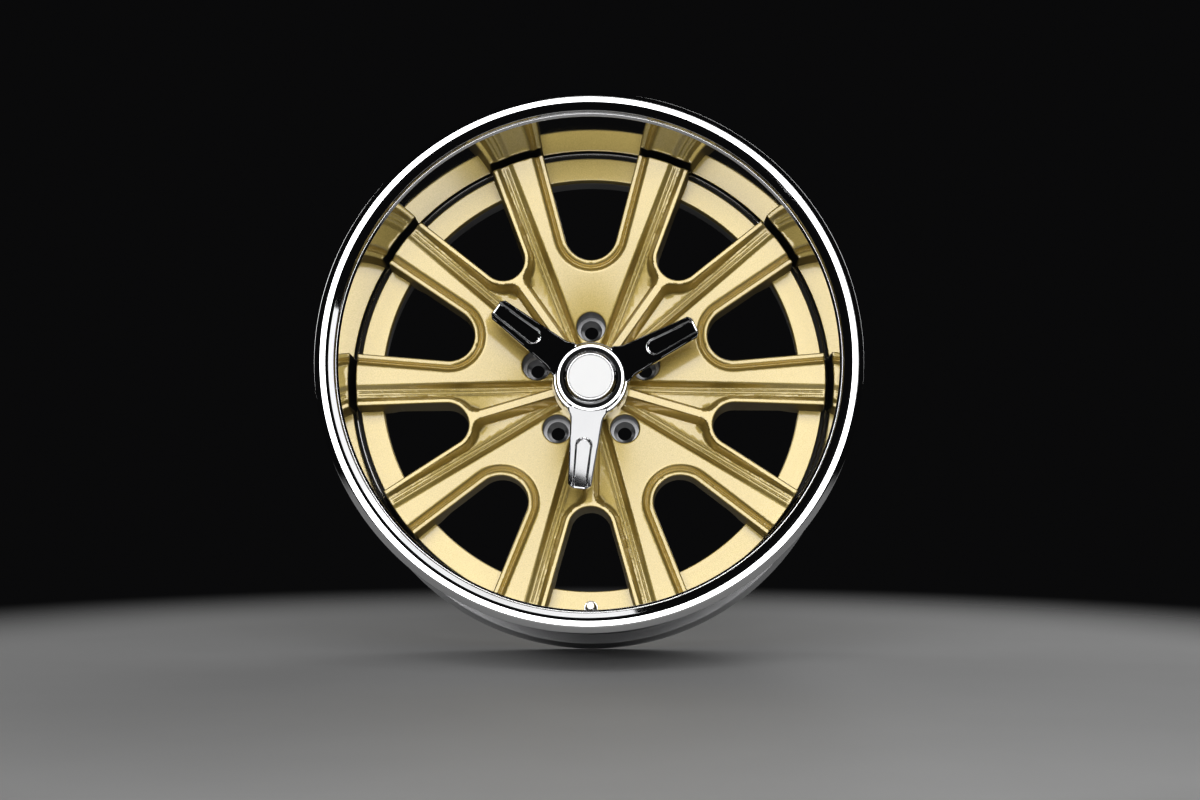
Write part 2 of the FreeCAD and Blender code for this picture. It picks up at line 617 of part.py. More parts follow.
def ear():
    """One fluted ear of the spinner."""
    root, tip = size("spinner_recess_radius") + size("ear_bury"), size("ear_tip_radius")
    root_half, tip_half = size("ear_root_half_width"), size("ear_tip_half_width")
    front, tip_front = size("ear_root_depth"), size("ear_tip_depth")
    back, corner = size("cap_face_depth"), size("ear_corner")
    knee = size("cap_radius") + size("ear_clearance")
    fall = (front - tip_front) / (tip - root)
    side = [(root, front), (tip, tip_front), (tip, tip_front + size("ear_tip_thickness")),
            (knee, back), (root, back)]
    body = prism(side, True, -2 * root_half, 2 * root_half)
    plan = [(root, root_half), (tip - corner, tip_half), (tip, tip_half - corner),
            (tip, corner - tip_half), (tip - corner, -tip_half), (root, -root_half)]
    body = body.common(prism(plan, False, FRONT, BACK))
    start, wide, narrow = size("flute_start"), size("flute_root_half_width"), size("flute_tip_half_width")
    depth = size("flute_depth")
    above = prism([(root, FRONT), (tip + depth, FRONT), (tip + depth, tip_front + depth - fall * depth),
                   (root, front + depth)], True, -2 * root_half, 2 * root_half)
    channel = prism([(start + wide, wide), (tip + depth, narrow),
                     (tip + depth, -narrow), (start + wide, -wide)], False, FRONT, BACK)
    end = Part.makeCylinder(wide, BACK - FRONT, flat(start + wide, 0, FRONT), Vector(0, 1, 0))
    return body.cut(channel.fuse(end).common(above))


ears = solid_feature("spinner_ears", around(ear(), int(size("ear_count")), size("ear_angle")))
eared = doc.addObject("Part::MultiFuse", "spinner_eared")
eared.Shapes = [spinner_ring, ears]
screw_turn = size("ear_angle") + 180.0 / size("ear_count")


def screw_part(points, count):
    """Turned shape at the circle of the spinner screws, repeated round the axis."""
    shape = revolved(points)
    shape.translate(flat(size("screw_circle_radius"), 0, 0))
    return around(shape, count, screw_turn)


screw_seat = size("cap_face_depth") + size("cap_plate")
screw_end = size("cap_face_depth") - size("screw_bite")
shank, head = size("screw_radius"), size("screw_head_radius")
head_end = screw_seat + size("screw_head_height")
screw_hole = [(0, screw_end), (shank, screw_end), (shank, screw_seat), (0, screw_seat)]
screw_outline = [(0, screw_end), (shank, screw_end), (shank, screw_seat), (head, screw_seat),
                 (head, head_end), (0, head_end)]
screw_count = int(size("ear_count"))
spinner = doc.addObject("Part::Cut", "spinner")
spinner.Base, spinner.Tool = eared, solid_feature("spinner_screw_holes", screw_part(screw_hole, screw_count))
cap_drilled = doc.addObject("Part::Cut", "cap_body_drilled")
cap_drilled.Base = cap_body
cap_drilled.Tool = solid_feature("cap_screw_holes", screw_part(screw_hole, screw_count))
screws = solid_feature("spinner_screws", screw_part(screw_outline, screw_count))

bezel = turned("emblem_bezel", [
    ("0", "bezel_front_depth + disc_thickness"),
    ("disc_radius", "bezel_front_depth + disc_thickness"),
    ("disc_radius", "bezel_front_depth"),
    ("bezel_top_radius", "bezel_front_depth"),
    ("bezel_top_radius", "spinner_recess_depth - bezel_foot - bezel_step"),
    ("bezel_step_radius", "spinner_recess_depth - bezel_foot - bezel_step"),
    ("bezel_step_radius", "spinner_recess_depth - bezel_foot"),
    ("bezel_radius", "spinner_recess_depth - bezel_foot"),
    ("bezel_radius", "spinner_recess_depth"),
    ("0", "spinner_recess_depth"),
])
disc = turned("emblem_disc", [
    ("0", "bezel_front_depth"),
    ("disc_radius", "bezel_front_depth"),
    ("disc_radius", "bezel_front_depth + disc_thickness"),
    ("0", "bezel_front_depth + disc_thickness"),
])

# Tyre valve
head_front = "shoulder_depth + shoulder_thickness + grommet_thickness"
stem = turned("valve_stem", [
    ("stem_bore_radius", "stem_tip_depth"),
    ("stem_neck_radius", "stem_tip_depth"),
    ("stem_neck_radius", "stem_neck_depth"),
    ("stem_radius", "stem_neck_depth"),
    ("stem_radius", head_front),
    ("stem_head_radius", head_front),
    ("stem_head_radius", head_front + " + stem_head_height"),
    ("stem_bore_radius", head_front + " + stem_head_height"),
], below="valve_radius")
grommet = turned("valve_grommet", [
    ("stem_radius", "shoulder_depth"),
    ("valve_hole_radius", "shoulder_depth"),
    ("valve_hole_radius", "shoulder_depth + shoulder_thickness"),
    ("stem_head_radius", "shoulder_depth + shoulder_thickness"),
    ("stem_head_radius", head_front),
    ("stem_radius", head_front),
], below="valve_radius")
valve_washer = turned("valve_washer", [
    ("stem_radius", "shoulder_depth - valve_washer_thickness"),
    ("nut_radius", "shoulder_depth - valve_washer_thickness"),
    ("nut_radius", "shoulder_depth"),
    ("stem_radius", "shoulder_depth"),
], below="valve_radius")
hexagon = doc.addObject("Part::Prism", "valve_nut_hexagon")
hexagon.Polygon = 6
hexagon.setExpression("Circumradius", "Sizes.nut_radius")
nut_bore = doc.addObject("Part::Cylinder", "valve_nut_bore")
nut_bore.setExpression("Radius", "Sizes.stem_radius")
for item in (hexagon, nut_bore):
    item.setExpression("Height", "Sizes.nut_height")
    item.Placement = Placement(Vector(), Rotation(Vector(1, 0, 0), -90))
    item.setExpression("Placement.Base.y",
                       bound("shoulder_depth - valve_washer_thickness - nut_height - hub_depth"))
    item.setExpression("Placement.Base.z", "-Sizes.valve_radius")
nut = doc.addObject("Part::Cut", "valve_nut")
nut.Base, nut.Tool = hexagon, nut_bore
core = turned("valve_core", [
    ("0", "stem_tip_depth + core_pin_setback"),
    ("core_pin_radius", "stem_tip_depth + core_pin_setback"),
    ("core_pin_radius", "core_front_depth"),
    ("stem_bore_radius", "core_front_depth"),
    ("stem_bore_radius", "core_rear_depth"),
    ("0", "core_rear_depth"),
], below="valve_radius")
valve_cap = turned("valve_cap", [
    ("0", "valve_cap_depth"),
    ("valve_cap_radius", "valve_cap_depth"),
    ("valve_cap_radius", "stem_neck_depth"),
    ("stem_neck_radius", "stem_neck_depth"),
    ("stem_neck_radius", "stem_tip_depth - cap_seal_thickness"),
    ("0", "stem_tip_depth - cap_seal_thickness"),
], below="valve_radius")
cap_seal = turned("valve_cap_seal", [
    ("0", "stem_tip_depth - cap_seal_thickness"),
    ("stem_neck_radius", "stem_tip_depth - cap_seal_thickness"),
    ("stem_neck_radius", "stem_tip_depth"),
    ("0", "stem_tip_depth"),
], below="valve_radius")

cap_body.Label = "cap_body_blank"
PIECES = {
    "wheel_centre": centre, "rim_barrel": barrel, "weld_bead": weld,
    "cap_body": cap_drilled, "cap_o_ring": o_ring, "cap_snap_ring": snap_ring,
    "spinner": spinner, "spinner_screws": screws, "emblem_bezel": bezel, "emblem_disc": disc,
    "valve_stem": stem, "valve_grommet": grommet, "valve_washer": valve_washer, "valve_nut": nut,
    "valve_core": core, "valve_cap": valve_cap, "valve_cap_seal": cap_seal,
}
doc.recompute()
for item in doc.Objects:
    if "Invalid" in item.State or "Error" in item.State:
        raise RuntimeError(item.Label + " did not recompute")
for label, piece in PIECES.items():
    if piece.Shape.isNull() or not piece.Shape.isValid():
        raise RuntimeError(label + " has no valid shape")

os.makedirs("parts", exist_ok=True)
for label, piece in PIECES.items():
    piece.Label = label
    piece.Shape.exportStep(f"parts/{label}.step")
    box = piece.Shape.BoundBox
    print(f"{label}: {len(piece.Shape.Solids)} solid, {piece.Shape.Volume / 1000:.1f} cm3, "
          f"y {box.YMin:.1f} to {box.YMax:.1f}")
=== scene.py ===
"""Looks of a deep-dish forged wheel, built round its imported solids."""
import logging
import math
from dataclasses import dataclass
from enum import Enum
from typing import Sequence

import bmesh
import bpy
import numpy as np
from mathutils import Matrix, Vector
from mathutils.geometry import delaunay_2d_cdt


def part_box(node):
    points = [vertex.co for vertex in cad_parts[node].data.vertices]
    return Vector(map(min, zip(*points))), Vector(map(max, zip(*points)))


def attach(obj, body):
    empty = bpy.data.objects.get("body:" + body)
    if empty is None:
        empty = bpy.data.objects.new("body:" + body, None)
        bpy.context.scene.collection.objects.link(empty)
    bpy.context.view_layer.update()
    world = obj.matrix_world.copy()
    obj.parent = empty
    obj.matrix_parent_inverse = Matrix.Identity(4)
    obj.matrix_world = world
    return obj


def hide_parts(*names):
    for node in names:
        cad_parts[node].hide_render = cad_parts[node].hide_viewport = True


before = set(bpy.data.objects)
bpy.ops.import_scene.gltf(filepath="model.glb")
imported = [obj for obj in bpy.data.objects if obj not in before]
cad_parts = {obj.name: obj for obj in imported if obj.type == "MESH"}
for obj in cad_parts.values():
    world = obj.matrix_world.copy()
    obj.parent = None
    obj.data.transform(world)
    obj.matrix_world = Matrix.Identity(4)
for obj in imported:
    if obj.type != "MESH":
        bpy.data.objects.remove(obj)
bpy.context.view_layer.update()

LOG = logging.getLogger("forged_wheel")
MM = 0.001
HUB_DEPTH = -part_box("rim_barrel")[0].y / MM
TINY = 1e-6
# The gap and wall marks take painted shade: near black on the spoke ends and the hoop's outer groove, dark
# gold on the other window walls. The bare mark is machined metal.
FACE_MARKS = ("bare", "gap", "wall")
MARK_INPUTS = {mark: mark.title() + " Finish" for mark in FACE_MARKS}
# Numbers of the colour inputs and the colour output of a Mix node
MIX_FIRST, MIX_SECOND, MIX_RESULT = 6, 7, 2
SOFT_DETAIL, FINE_DETAIL = 2.0, 3.0
BUMP_SHARE, BUMP_HEIGHT = 0.2, 0.00005
QUARTER_TURN = np.radians((0.0, 22.5, 45.0, 67.5, 90.0))
TURNED_SHARP = 50.0
Point = tuple[float, float]
Colour = tuple[float, float, float]


class Socket:
    """One shader value that takes part in Python arithmetic."""

    def __init__(self, tree: bpy.types.NodeTree, socket: bpy.types.NodeSocket) -> None:
        """Keep the tree and the socket that gives the value."""
        self.tree = tree
        self.socket = socket

    def _math(self, operation: str, first: "Socket | float", second: "Socket | float") -> "Socket":
        """Add one Math node.

        Args:
            operation: Name of the operation.
            first: First value.
            second: Second value.

        Returns:
            The result.
        """
        node = self.tree.nodes.new("ShaderNodeMath")
        node.operation = operation
        for place, value in zip(node.inputs, (first, second)):
            if isinstance(value, Socket):
                self.tree.links.new(value.socket, place)
            else:
                place.default_value = value
        return Socket(self.tree, node.outputs[0])

    def __add__(self, other: "Socket | float") -> "Socket":
        """Sum."""
        return self._math("ADD", self, other)

    def __radd__(self, other: float) -> "Socket":
        """Reflected sum."""
        return self._math("ADD", other, self)

    def __sub__(self, other: "Socket | float") -> "Socket":
        """Difference."""
        return self._math("SUBTRACT", self, other)

    def __rsub__(self, other: float) -> "Socket":
        """Reflected difference."""
        return self._math("SUBTRACT", other, self)

    def __mul__(self, other: "Socket | float") -> "Socket":
        """Product."""
        return self._math("MULTIPLY", self, other)

    def __rmul__(self, other: float) -> "Socket":
        """Reflected product."""
        return self._math("MULTIPLY", other, self)


class Dye:
    """Node tree of one material, with the few calls that the finishes need."""

    def __init__(self, name: str) -> None:
        """Make a material with one Principled shader.

        Args:
            name: Name of the material.
        """
        self.material = bpy.data.materials.new(name)
        self.material.use_nodes = True
        self.tree = self.material.node_tree
        self.shader = self.tree.nodes["Principled BSDF"]

    def node(self, kind: str, settings: dict | None = None, inputs: dict | None = None) -> bpy.types.Node:
        """Add any node.

        Args:
            kind: Type name of the node.
            settings: Properties, set first.
            inputs: Values or sockets by input name or number.

        Returns:
            The node.
        """
        node = self.tree.nodes.new(kind)
        for name, value in (settings or {}).items():
            setattr(node, name, value)
        for name, value in (inputs or {}).items():
            self.feed(node, name, value)
        return node

    def feed(self, node: bpy.types.Node, name: str | int, value: object) -> None:
        """Set or link one input of a node.

        Args:
            node: The node.
            name: Input name or number.
            value: Number, colour or Socket.
        """
        if isinstance(value, Socket):
            self.tree.links.new(value.socket, node.inputs[name])
        else:
            node.inputs[name].default_value = value

    def out(self, node: bpy.types.Node, name: str | int = 0) -> Socket:
        """Output of a node as a Socket."""
        return Socket(self.tree, node.outputs[name])

    def place(self) -> Socket:
        """Object coordinates."""
        return self.out(self.node("ShaderNodeTexCoord"), "Object")

    def noise(self, scale: float, detail: float = SOFT_DETAIL,
              stretch: Sequence[float] = (1, 1, 1)) -> Socket:
        """Noise over Object coordinates.

        Args:
            scale: Grains per metre.
            detail: Octaves.
            stretch: Scale along each axis.

        Returns:
            Values from 0 to 1.
        """
        turned = self.node("ShaderNodeMapping", None, {"Vector": self.place(), "Scale": tuple(stretch)})
        noise = self.node("ShaderNodeTexNoise", None,
                          {"Vector": self.out(turned), "Scale": scale, "Detail": detail})
        return self.out(noise, "Fac")

    def mix(self, share: Socket, first: Colour, second: Colour) -> Socket:
        """Colour between two colours.

        Args:
            share: 0 gives the first colour and 1 the second.
            first: Linear colour.
            second: Linear colour.

        Returns:
            The mixed colour.
        """
        node = self.node("ShaderNodeMix", {"data_type": "RGBA"},
                         {0: share, MIX_FIRST: (*first, 1.0), MIX_SECOND: (*second, 1.0)})
        return self.out(node, MIX_RESULT)

    def bump(self, height: Socket, strength: float, distance: float) -> None:
        """Let a height stand out of the surface.

        Args:
            height: Values from 0 to 1.
            strength: Share of the effect.
            distance: Height in metres.
        """
        node = self.node("ShaderNodeBump", None,
                         {"Height": height, "Strength": strength, "Distance": distance})
        self.feed(self.shader, "Normal", self.out(node))

    def set(self, **values: object) -> None:
        """Set inputs of the Principled shader, with underscores for spaces."""
        for name, value in values.items():
            self.feed(self.shader, name.replace("_", " "), value)


@dataclass(frozen=True)
class SatinGold:
    """Satin champagne gold coat with a fine metal grain."""

    light: Colour = (0.71, 0.545, 0.175)
    dark: Colour = (0.49, 0.368, 0.098)
    grain: float = 1100.0
    cloud: float = 9.0
    contrast: float = 2.4
    shade: float = 0.7
    metallic: float = 0.92
    roughness: float = 0.38
    flake_spread: float = 0.14
    cloud_spread: float = 0.05
    coat_roughness: float = 0.11
    coat_ior: float = 1.8
    bump_share: float = 0.3
    bump_height: float = 0.00007

    def make(self) -> bpy.types.Material:
        """Build the material.

        Returns:
            The material.
        """
        dye = Dye("satin_gold")
        flake = dye.noise(self.grain, FINE_DETAIL)
        cloud = dye.noise(self.cloud)
        share = self.contrast * flake - self.shade
        dye.set(Base_Color=dye.mix(share, self.dark, self.light), Metallic=self.metallic)
        dye.set(Roughness=self.roughness + self.flake_spread * flake + self.cloud_spread * cloud)
        dye.set(Coat_Weight=1.0, Coat_Roughness=self.coat_roughness, Coat_IOR=self.coat_ior)
        dye.bump(flake, self.bump_share, self.bump_height)
        return dye.material


@dataclass(frozen=True)
class TurnedAluminium:
    """Plain machined metal with fine turning lines round the wheel's axis."""

    name: str = "turned_aluminium"
    light: Colour = (0.70, 0.70, 0.71)
    dark: Colour = (0.55, 0.55, 0.56)
    roughness: float = 0.24
    lines: float = 900.0
    spread: float = 0.14
    cloud: float = 14.0
    stretch: tuple = (0.02, 1.0, 0.02)

    def make(self) -> bpy.types.Material:
        """Build the material.

        Returns:
            The material.
        """
        dye = Dye(self.name)
        lines = dye.noise(self.lines, stretch=self.stretch)
        cloud = dye.noise(self.cloud, FINE_DETAIL)
        dye.set(Base_Color=dye.mix(cloud, self.dark, self.light), Metallic=1.0)
        dye.set(Roughness=self.roughness + self.spread * lines)
        dye.bump(lines, BUMP_SHARE, BUMP_HEIGHT)
        return dye.material


@dataclass(frozen=True)
class PlainFinish:
    """Two shades of one colour with a fine grain, which may stand out or lie under a clear coat."""

    name: str
    light: Colour
    dark: Colour
    metallic: float
    roughness: float
    grain: float = 700.0
    spread: float = 0.15
    detail: float = FINE_DETAIL
    raised: bool = True
    coat_ior: float = 0.0
    coat_roughness: float = 0.12

    def make(self) -> bpy.types.Material:
        """Build the material.

        Returns:
            The material.
        """
        dye = Dye(self.name)
        grain = dye.noise(self.grain, self.detail)
        dye.set(Base_Color=dye.mix(grain, self.dark, self.light), Metallic=self.metallic)
        dye.set(Roughness=self.roughness + self.spread * grain)
        if self.raised:
            dye.bump(grain, BUMP_SHARE, BUMP_HEIGHT)
        if self.coat_ior:
            dye.set(Coat_Weight=1.0, Coat_IOR=self.coat_ior, Coat_Roughness=self.coat_roughness)
        return dye.material


class FinishName(Enum):
    """Finishes of the wheel."""

    GOLD = SatinGold()
    POLISHED = PlainFinish("polished_aluminium", (0.93, 0.93, 0.935), (0.87, 0.87, 0.88), 1.0, 0.02, 26.0,
                           0.035, raised=False)
    TURNED = TurnedAluminium()
    BARE = TurnedAluminium("bare_metal", (0.56, 0.56, 0.57), (0.40, 0.40, 0.41), 0.40, 1400.0)
    # Painted shade: a darker, uncoated copy of the gold for the window walls.
    PAINTED_SHADE_WALL = PlainFinish("painted_shade_gold", (0.26, 0.195, 0.065), (0.17, 0.128, 0.042), 0.9, 0.42)
    # Painted shade: near black for the spoke ends and the hoop's outer groove.
    PAINTED_SHADE_GAP = PlainFinish("painted_shade_gap", (0.020, 0.018, 0.014), (0.010, 0.009, 0.007), 0.0, 0.6)
    WELD = PlainFinish("weld_metal", (0.62, 0.62, 0.63), (0.34, 0.34, 0.35), 1.0, 0.32, 260.0)
    CHROME = PlainFinish("chrome_plate", (0.90, 0.90, 0.91), (0.83, 0.83, 0.845), 1.0, 0.025, 60.0, 0.03,
                         SOFT_DETAIL, False)
    WHITE = PlainFinish("gloss_white", (0.94, 0.94, 0.94), (0.90, 0.90, 0.905), 0.0, 0.16, 45.0, 0.08,
                        SOFT_DETAIL, False, 2.0)
    RUBBER = PlainFinish("black_rubber", (0.030, 0.030, 0.031), (0.014, 0.014, 0.015), 0.0, 0.55)
    DARK_STEEL = PlainFinish("black_steel", (0.045, 0.045, 0.047), (0.025, 0.025, 0.026), 0.6, 0.45)
    STEEL = PlainFinish("spring_steel", (0.46, 0.46, 0.47), (0.33, 0.33, 0.34), 1.0, 0.25)
    BRASS = PlainFinish("brass", (0.72, 0.50, 0.20), (0.55, 0.37, 0.13), 1.0, 0.22)


class Paints:
    """Materials made once and shared by the pieces."""

    def __init__(self) -> None:
        """Make every finish."""
        self.made = {name: name.value.make() for name in FinishName}

    def __getitem__(self, name: FinishName) -> bpy.types.Material:
        """Material of a finish."""
        return self.made[name]


def smooth_step(share: np.ndarray) -> np.ndarray:
    """Ease from 0 to 1 with level ends."""
    share = np.clip(share, 0.0, 1.0)
    return share * share * (3.0 - 2.0 * share)


def smooth_min(first: np.ndarray, second: np.ndarray, blend: float) -> np.ndarray:
    """Smaller of two distances with a rounded meeting.

    Args:
        first: Distances.
        second: Distances.
        blend: Reach of the rounding.

    Returns:
        Blended distances.
    """
    share = np.clip(0.5 + 0.5 * (second - first) / blend, 0.0, 1.0)
    return second * (1.0 - share) + first * share - blend * share * (1.0 - share)


def new_piece(name: str, mesh: bpy.types.Mesh) -> bpy.types.Object:
    """Object at the origin that shows a mesh.

    Args:
        name: Name of the piece.
        mesh: Its mesh.

    Returns:
        The object, linked to the scene.
    """
    piece = bpy.data.objects.new(name, mesh)
    bpy.context.scene.collection.objects.link(piece)
    return piece


def stand_in(name: str, mesh: bpy.types.Mesh, node: str) -> bpy.types.Object:
    """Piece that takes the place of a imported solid.

    Args:
        name: Name of the piece.
        mesh: Its mesh.
        node: Solid that it stands for.

    Returns:
        The piece.
    """
    piece = new_piece(name, mesh)
    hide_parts(node)
    return piece


def shown_mesh(carrier: bpy.types.Object, *spent: bpy.types.Object) -> bpy.types.Mesh:
    """Plain mesh of an object with its modifiers, which then goes.

    Args:
        carrier: Object with modifiers.
        *spent: Other objects that go with it.

    Returns:
        The mesh.
    """
    shown = carrier.evaluated_get(bpy.context.evaluated_depsgraph_get())
    made = bpy.data.meshes.new_from_object(shown)
    for piece in (carrier, *spent):
        bpy.data.objects.remove(piece)
    return made


def join(mesh: bpy.types.Mesh, other: bpy.types.Mesh, sharp_degrees: float) -> None:
    """Add another mesh to a mesh.

    Args:
        mesh: Mesh that takes up the other.
        other: Mesh to add.
        sharp_degrees: Edges bent by more are sharp.
    """
    work = bmesh.new()
    for part in (mesh, other):
        work.from_mesh(part)
    work.to_mesh(mesh)
    work.free()
    mesh.set_sharp_from_angle(angle=math.radians(sharp_degrees))


def finish_mesh(mesh: bpy.types.Mesh, sharp_degrees: float, merge: float = 2e-6) -> None:
    """Merge doubles, point the faces outwards and shade them smooth up to an angle.

    Args:
        mesh: Closed mesh.
        sharp_degrees: Edges bent by more stay sharp.
        merge: Distance under which vertices are one, in metres.
    """
    work = bmesh.new()
    work.from_mesh(mesh)
    bmesh.ops.remove_doubles(work, verts=work.verts, dist=merge)
    bmesh.ops.dissolve_degenerate(work, edges=work.edges, dist=merge)
    bmesh.ops.recalc_face_normals(work, faces=work.faces)
    work.to_mesh(mesh)
    work.free()
    mesh.polygons.foreach_set("use_smooth", np.ones(len(mesh.polygons), bool))
    mesh.set_sharp_from_angle(angle=math.radians(sharp_degrees))


class Outline:
    """Turned outline of (radius, depth, rounding) corners in millimetres."""

    def __init__(self, corners: Sequence[tuple], closed: bool = True, steps: int = 8) -> None:
        """Round the corners.

        Args:
            corners: Radius, depth and optional rounding of each corner.
            closed: False for an outline that starts and ends on the axis.
            steps: Segments of each rounding.
        """
        self.closed = closed
        self.points: list[Point] = []
        self.marks: list[int] = []
        count = len(corners)
        for i, corner in enumerate(corners):
            rounding = corner[2] if len(corner) > 2 else 0.0
            at = Vector(corner[:2])
            if rounding <= 0.0 or (not closed and i in (0, count - 1)):
                self._add(at, i)
                continue
            back = Vector(corners[i - 1][:2]) - at
            ahead = Vector(corners[(i + 1) % count][:2]) - at
            half = back.angle(ahead) / 2
            cut = rounding / math.tan(half)
            back, ahead = back.normalized(), ahead.normalized()
            middle = at + (back + ahead).normalized() * (rounding / math.sin(half))
            start, end = at + back * cut, at + ahead * cut
            sweep = (start - middle).angle_signed(end - middle)
            for k in range(steps + 1):
                turned = Matrix.Rotation(-sweep * k / steps, 2) @ (start - middle)
                self._add(middle + turned, i)
        self._support()

    def _add(self, at: Vector, corner: int) -> None:
        """Keep one point and the corner it belongs to."""
        self.points.append((at.x, at.y))
        self.marks.append(corner)

    def _support(self, inset: float = 0.35) -> None:
        """Add points just inside the ends of long straight runs, so that they shade flat.

        Args:
            inset: Distance of such a point from the end.
        """
        points, marks = [], []
        count = len(self.points)
        for i in range(count):
            points.append(self.points[i])
            marks.append(self.marks[i])
            if i == count - 1 and not self.closed:
                break
            here, there = Vector(self.points[i]), Vector(self.points[(i + 1) % count])
            run = (there - here).length
            if run > 4 * inset:
                for share in (inset / run, 1 - inset / run):
                    at = here.lerp(there, share)
                    points.append((at.x, at.y))
                    marks.append(self.marks[i])
        self.points, self.marks = points, marks

    def turn(self, segments: int, below: float = 0.0) -> tuple[bpy.types.Mesh, list[int]]:
        """Turn the outline about the wheel's axis.

        Args:
            segments: Steps round the axis.
            below: Distance of the turning axis below the wheel's axis.

        Returns:
            The mesh, and the outline corner before each face.
        """
        angles = np.linspace(0.0, 2.0 * math.pi, segments, endpoint=False)
        verts: list[tuple] = []
        rings: list[list[int]] = []
        for radius, depth in self.points:
            y = (depth - HUB_DEPTH) * MM
            if radius < TINY:
                rings.append([len(verts)] * segments)
                verts.append((0.0, y, -below * MM))
                continue
            rings.append(list(range(len(verts), len(verts) + segments)))
            verts += [(radius * MM * math.cos(a), y, radius * MM * math.sin(a) - below * MM) for a in angles]
        faces, marks = [], []
        last = len(rings) if self.closed else len(rings) - 1
        for i in range(last):
            first, second = rings[i], rings[(i + 1) % len(rings)]
            for k in range(segments):
                n = (k + 1) % segments
                face = list(dict.fromkeys((first[k], first[n], second[n], second[k])))
                if len(face) > 2:
                    faces.append(face)
                    marks.append(self.marks[i])
        mesh = bpy.data.meshes.new("turned")
        mesh.from_pydata(verts, [], faces)
        return mesh, marks


def turned_piece(name: str, outline: Outline, finish: bpy.types.Material, node: str,
                 segments: int, below: float = 0.0) -> bpy.types.Object:
    """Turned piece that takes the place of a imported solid.

    Args:
        name: Name of the piece.
        outline: Its section.
        finish: Its material.
        node: Solid that it stands for.
        segments: Steps round the axis.
        below: Distance of its axis below the wheel's axis.

    Returns:
        The piece.
    """
    mesh, _ = outline.turn(segments, below)
    mesh.materials.append(finish)
    finish_mesh(mesh, TURNED_SHARP)
    return stand_in(name, mesh, node)


class RingRepeat:
    """Geometry Nodes tree that repeats one shape round the wheel's axis."""

    def __init__(self) -> None:
        """Build the tree with named inputs."""
        tree = bpy.data.node_groups.new("ring_repeat", "GeometryNodeTree")
        face = tree.interface
        face.new_socket("Shape", in_out="INPUT", socket_type="NodeSocketGeometry")
        kinds = {"Count": "NodeSocketInt", "Finish": "NodeSocketMaterial"}
        kinds.update((name, "NodeSocketMaterial") for name in MARK_INPUTS.values())
        self.inputs = {name: face.new_socket(name, in_out="INPUT", socket_type=kind).identifier
                       for name, kind in kinds.items()}
        face.new_socket("Shape", in_out="OUTPUT", socket_type="NodeSocketGeometry")
        self.tree = tree
        source, result = self._node("NodeGroupInput"), self._node("NodeGroupOutput")
        points = self._node("GeometryNodePoints", {"Count": source.outputs["Count"]})
        share = self._node("ShaderNodeMath", {0: self._node("GeometryNodeInputIndex").outputs[0],
                                              1: source.outputs["Count"]}, operation="DIVIDE")
        turn = self._node("ShaderNodeMath", {0: share.outputs[0], 1: 2.0 * math.pi}, operation="MULTIPLY")
        angles = self._node("ShaderNodeCombineXYZ", {"Y": turn.outputs[0]})
        spread = self._node("GeometryNodeInstanceOnPoints", {
            "Points": points.outputs[0], "Instance": source.outputs["Shape"], "Rotation": angles.outputs[0]})
        real = self._node("GeometryNodeRealizeInstances", {"Geometry": spread.outputs[0]})
        dressed = self._node("GeometryNodeSetMaterial", {
            "Geometry": real.outputs[0], "Material": source.outputs["Finish"]})
        for mark in FACE_MARKS:
            marked = self._node("GeometryNodeInputNamedAttribute", {"Name": mark}, data_type="BOOLEAN")
            dressed = self._node("GeometryNodeSetMaterial", {
                "Geometry": dressed.outputs[0], "Selection": marked.outputs[0],
                "Material": source.outputs[MARK_INPUTS[mark]]})
        self._link(dressed.outputs[0], result.inputs[0])

    def _link(self, start: bpy.types.NodeSocket, end: bpy.types.NodeSocket) -> None:
        """Join two sockets."""
        self.tree.links.new(start, end)

    def _node(self, kind: str, inputs: dict | None = None, **settings: object) -> bpy.types.Node:
        """Add a node.

        Args:
            kind: Type name.
            inputs: Values or sockets by input name or number.
            **settings: Properties of the node.

        Returns:
            The node.
        """
        node = self.tree.nodes.new(kind)
        for name, value in settings.items():
            setattr(node, name, value)
        for name, value in (inputs or {}).items():
            if isinstance(value, bpy.types.NodeSocket):
                self._link(value, node.inputs[name])
            else:
                node.inputs[name].default_value = value
        return node

    def apply(self, mesh: bpy.types.Mesh, count: int, finish: bpy.types.Material,
              marked: Sequence[bpy.types.Material]) -> bpy.types.Mesh:
        """Repeat a mesh round the axis.

        Args:
            mesh: Shape for the first place.
            count: Number of places.
            finish: Material of the shape.
            marked: Materials of its faces marked bare, gap and wall, where gap and wall carry painted shade.

        Returns:
            A plain mesh.
        """
        for material in (finish, *marked):
            mesh.materials.append(material)
        carrier = new_piece("repeat_carrier", mesh)
        modifier = carrier.modifiers.new("repeat", "NODES")
        modifier.node_group = self.tree
        modifier[self.inputs["Count"]] = count
        modifier[self.inputs["Finish"]] = finish
        for mark, material in zip(FACE_MARKS, marked):
            modifier[self.inputs[MARK_INPUTS[mark]]] = material
        return shown_mesh(carrier)


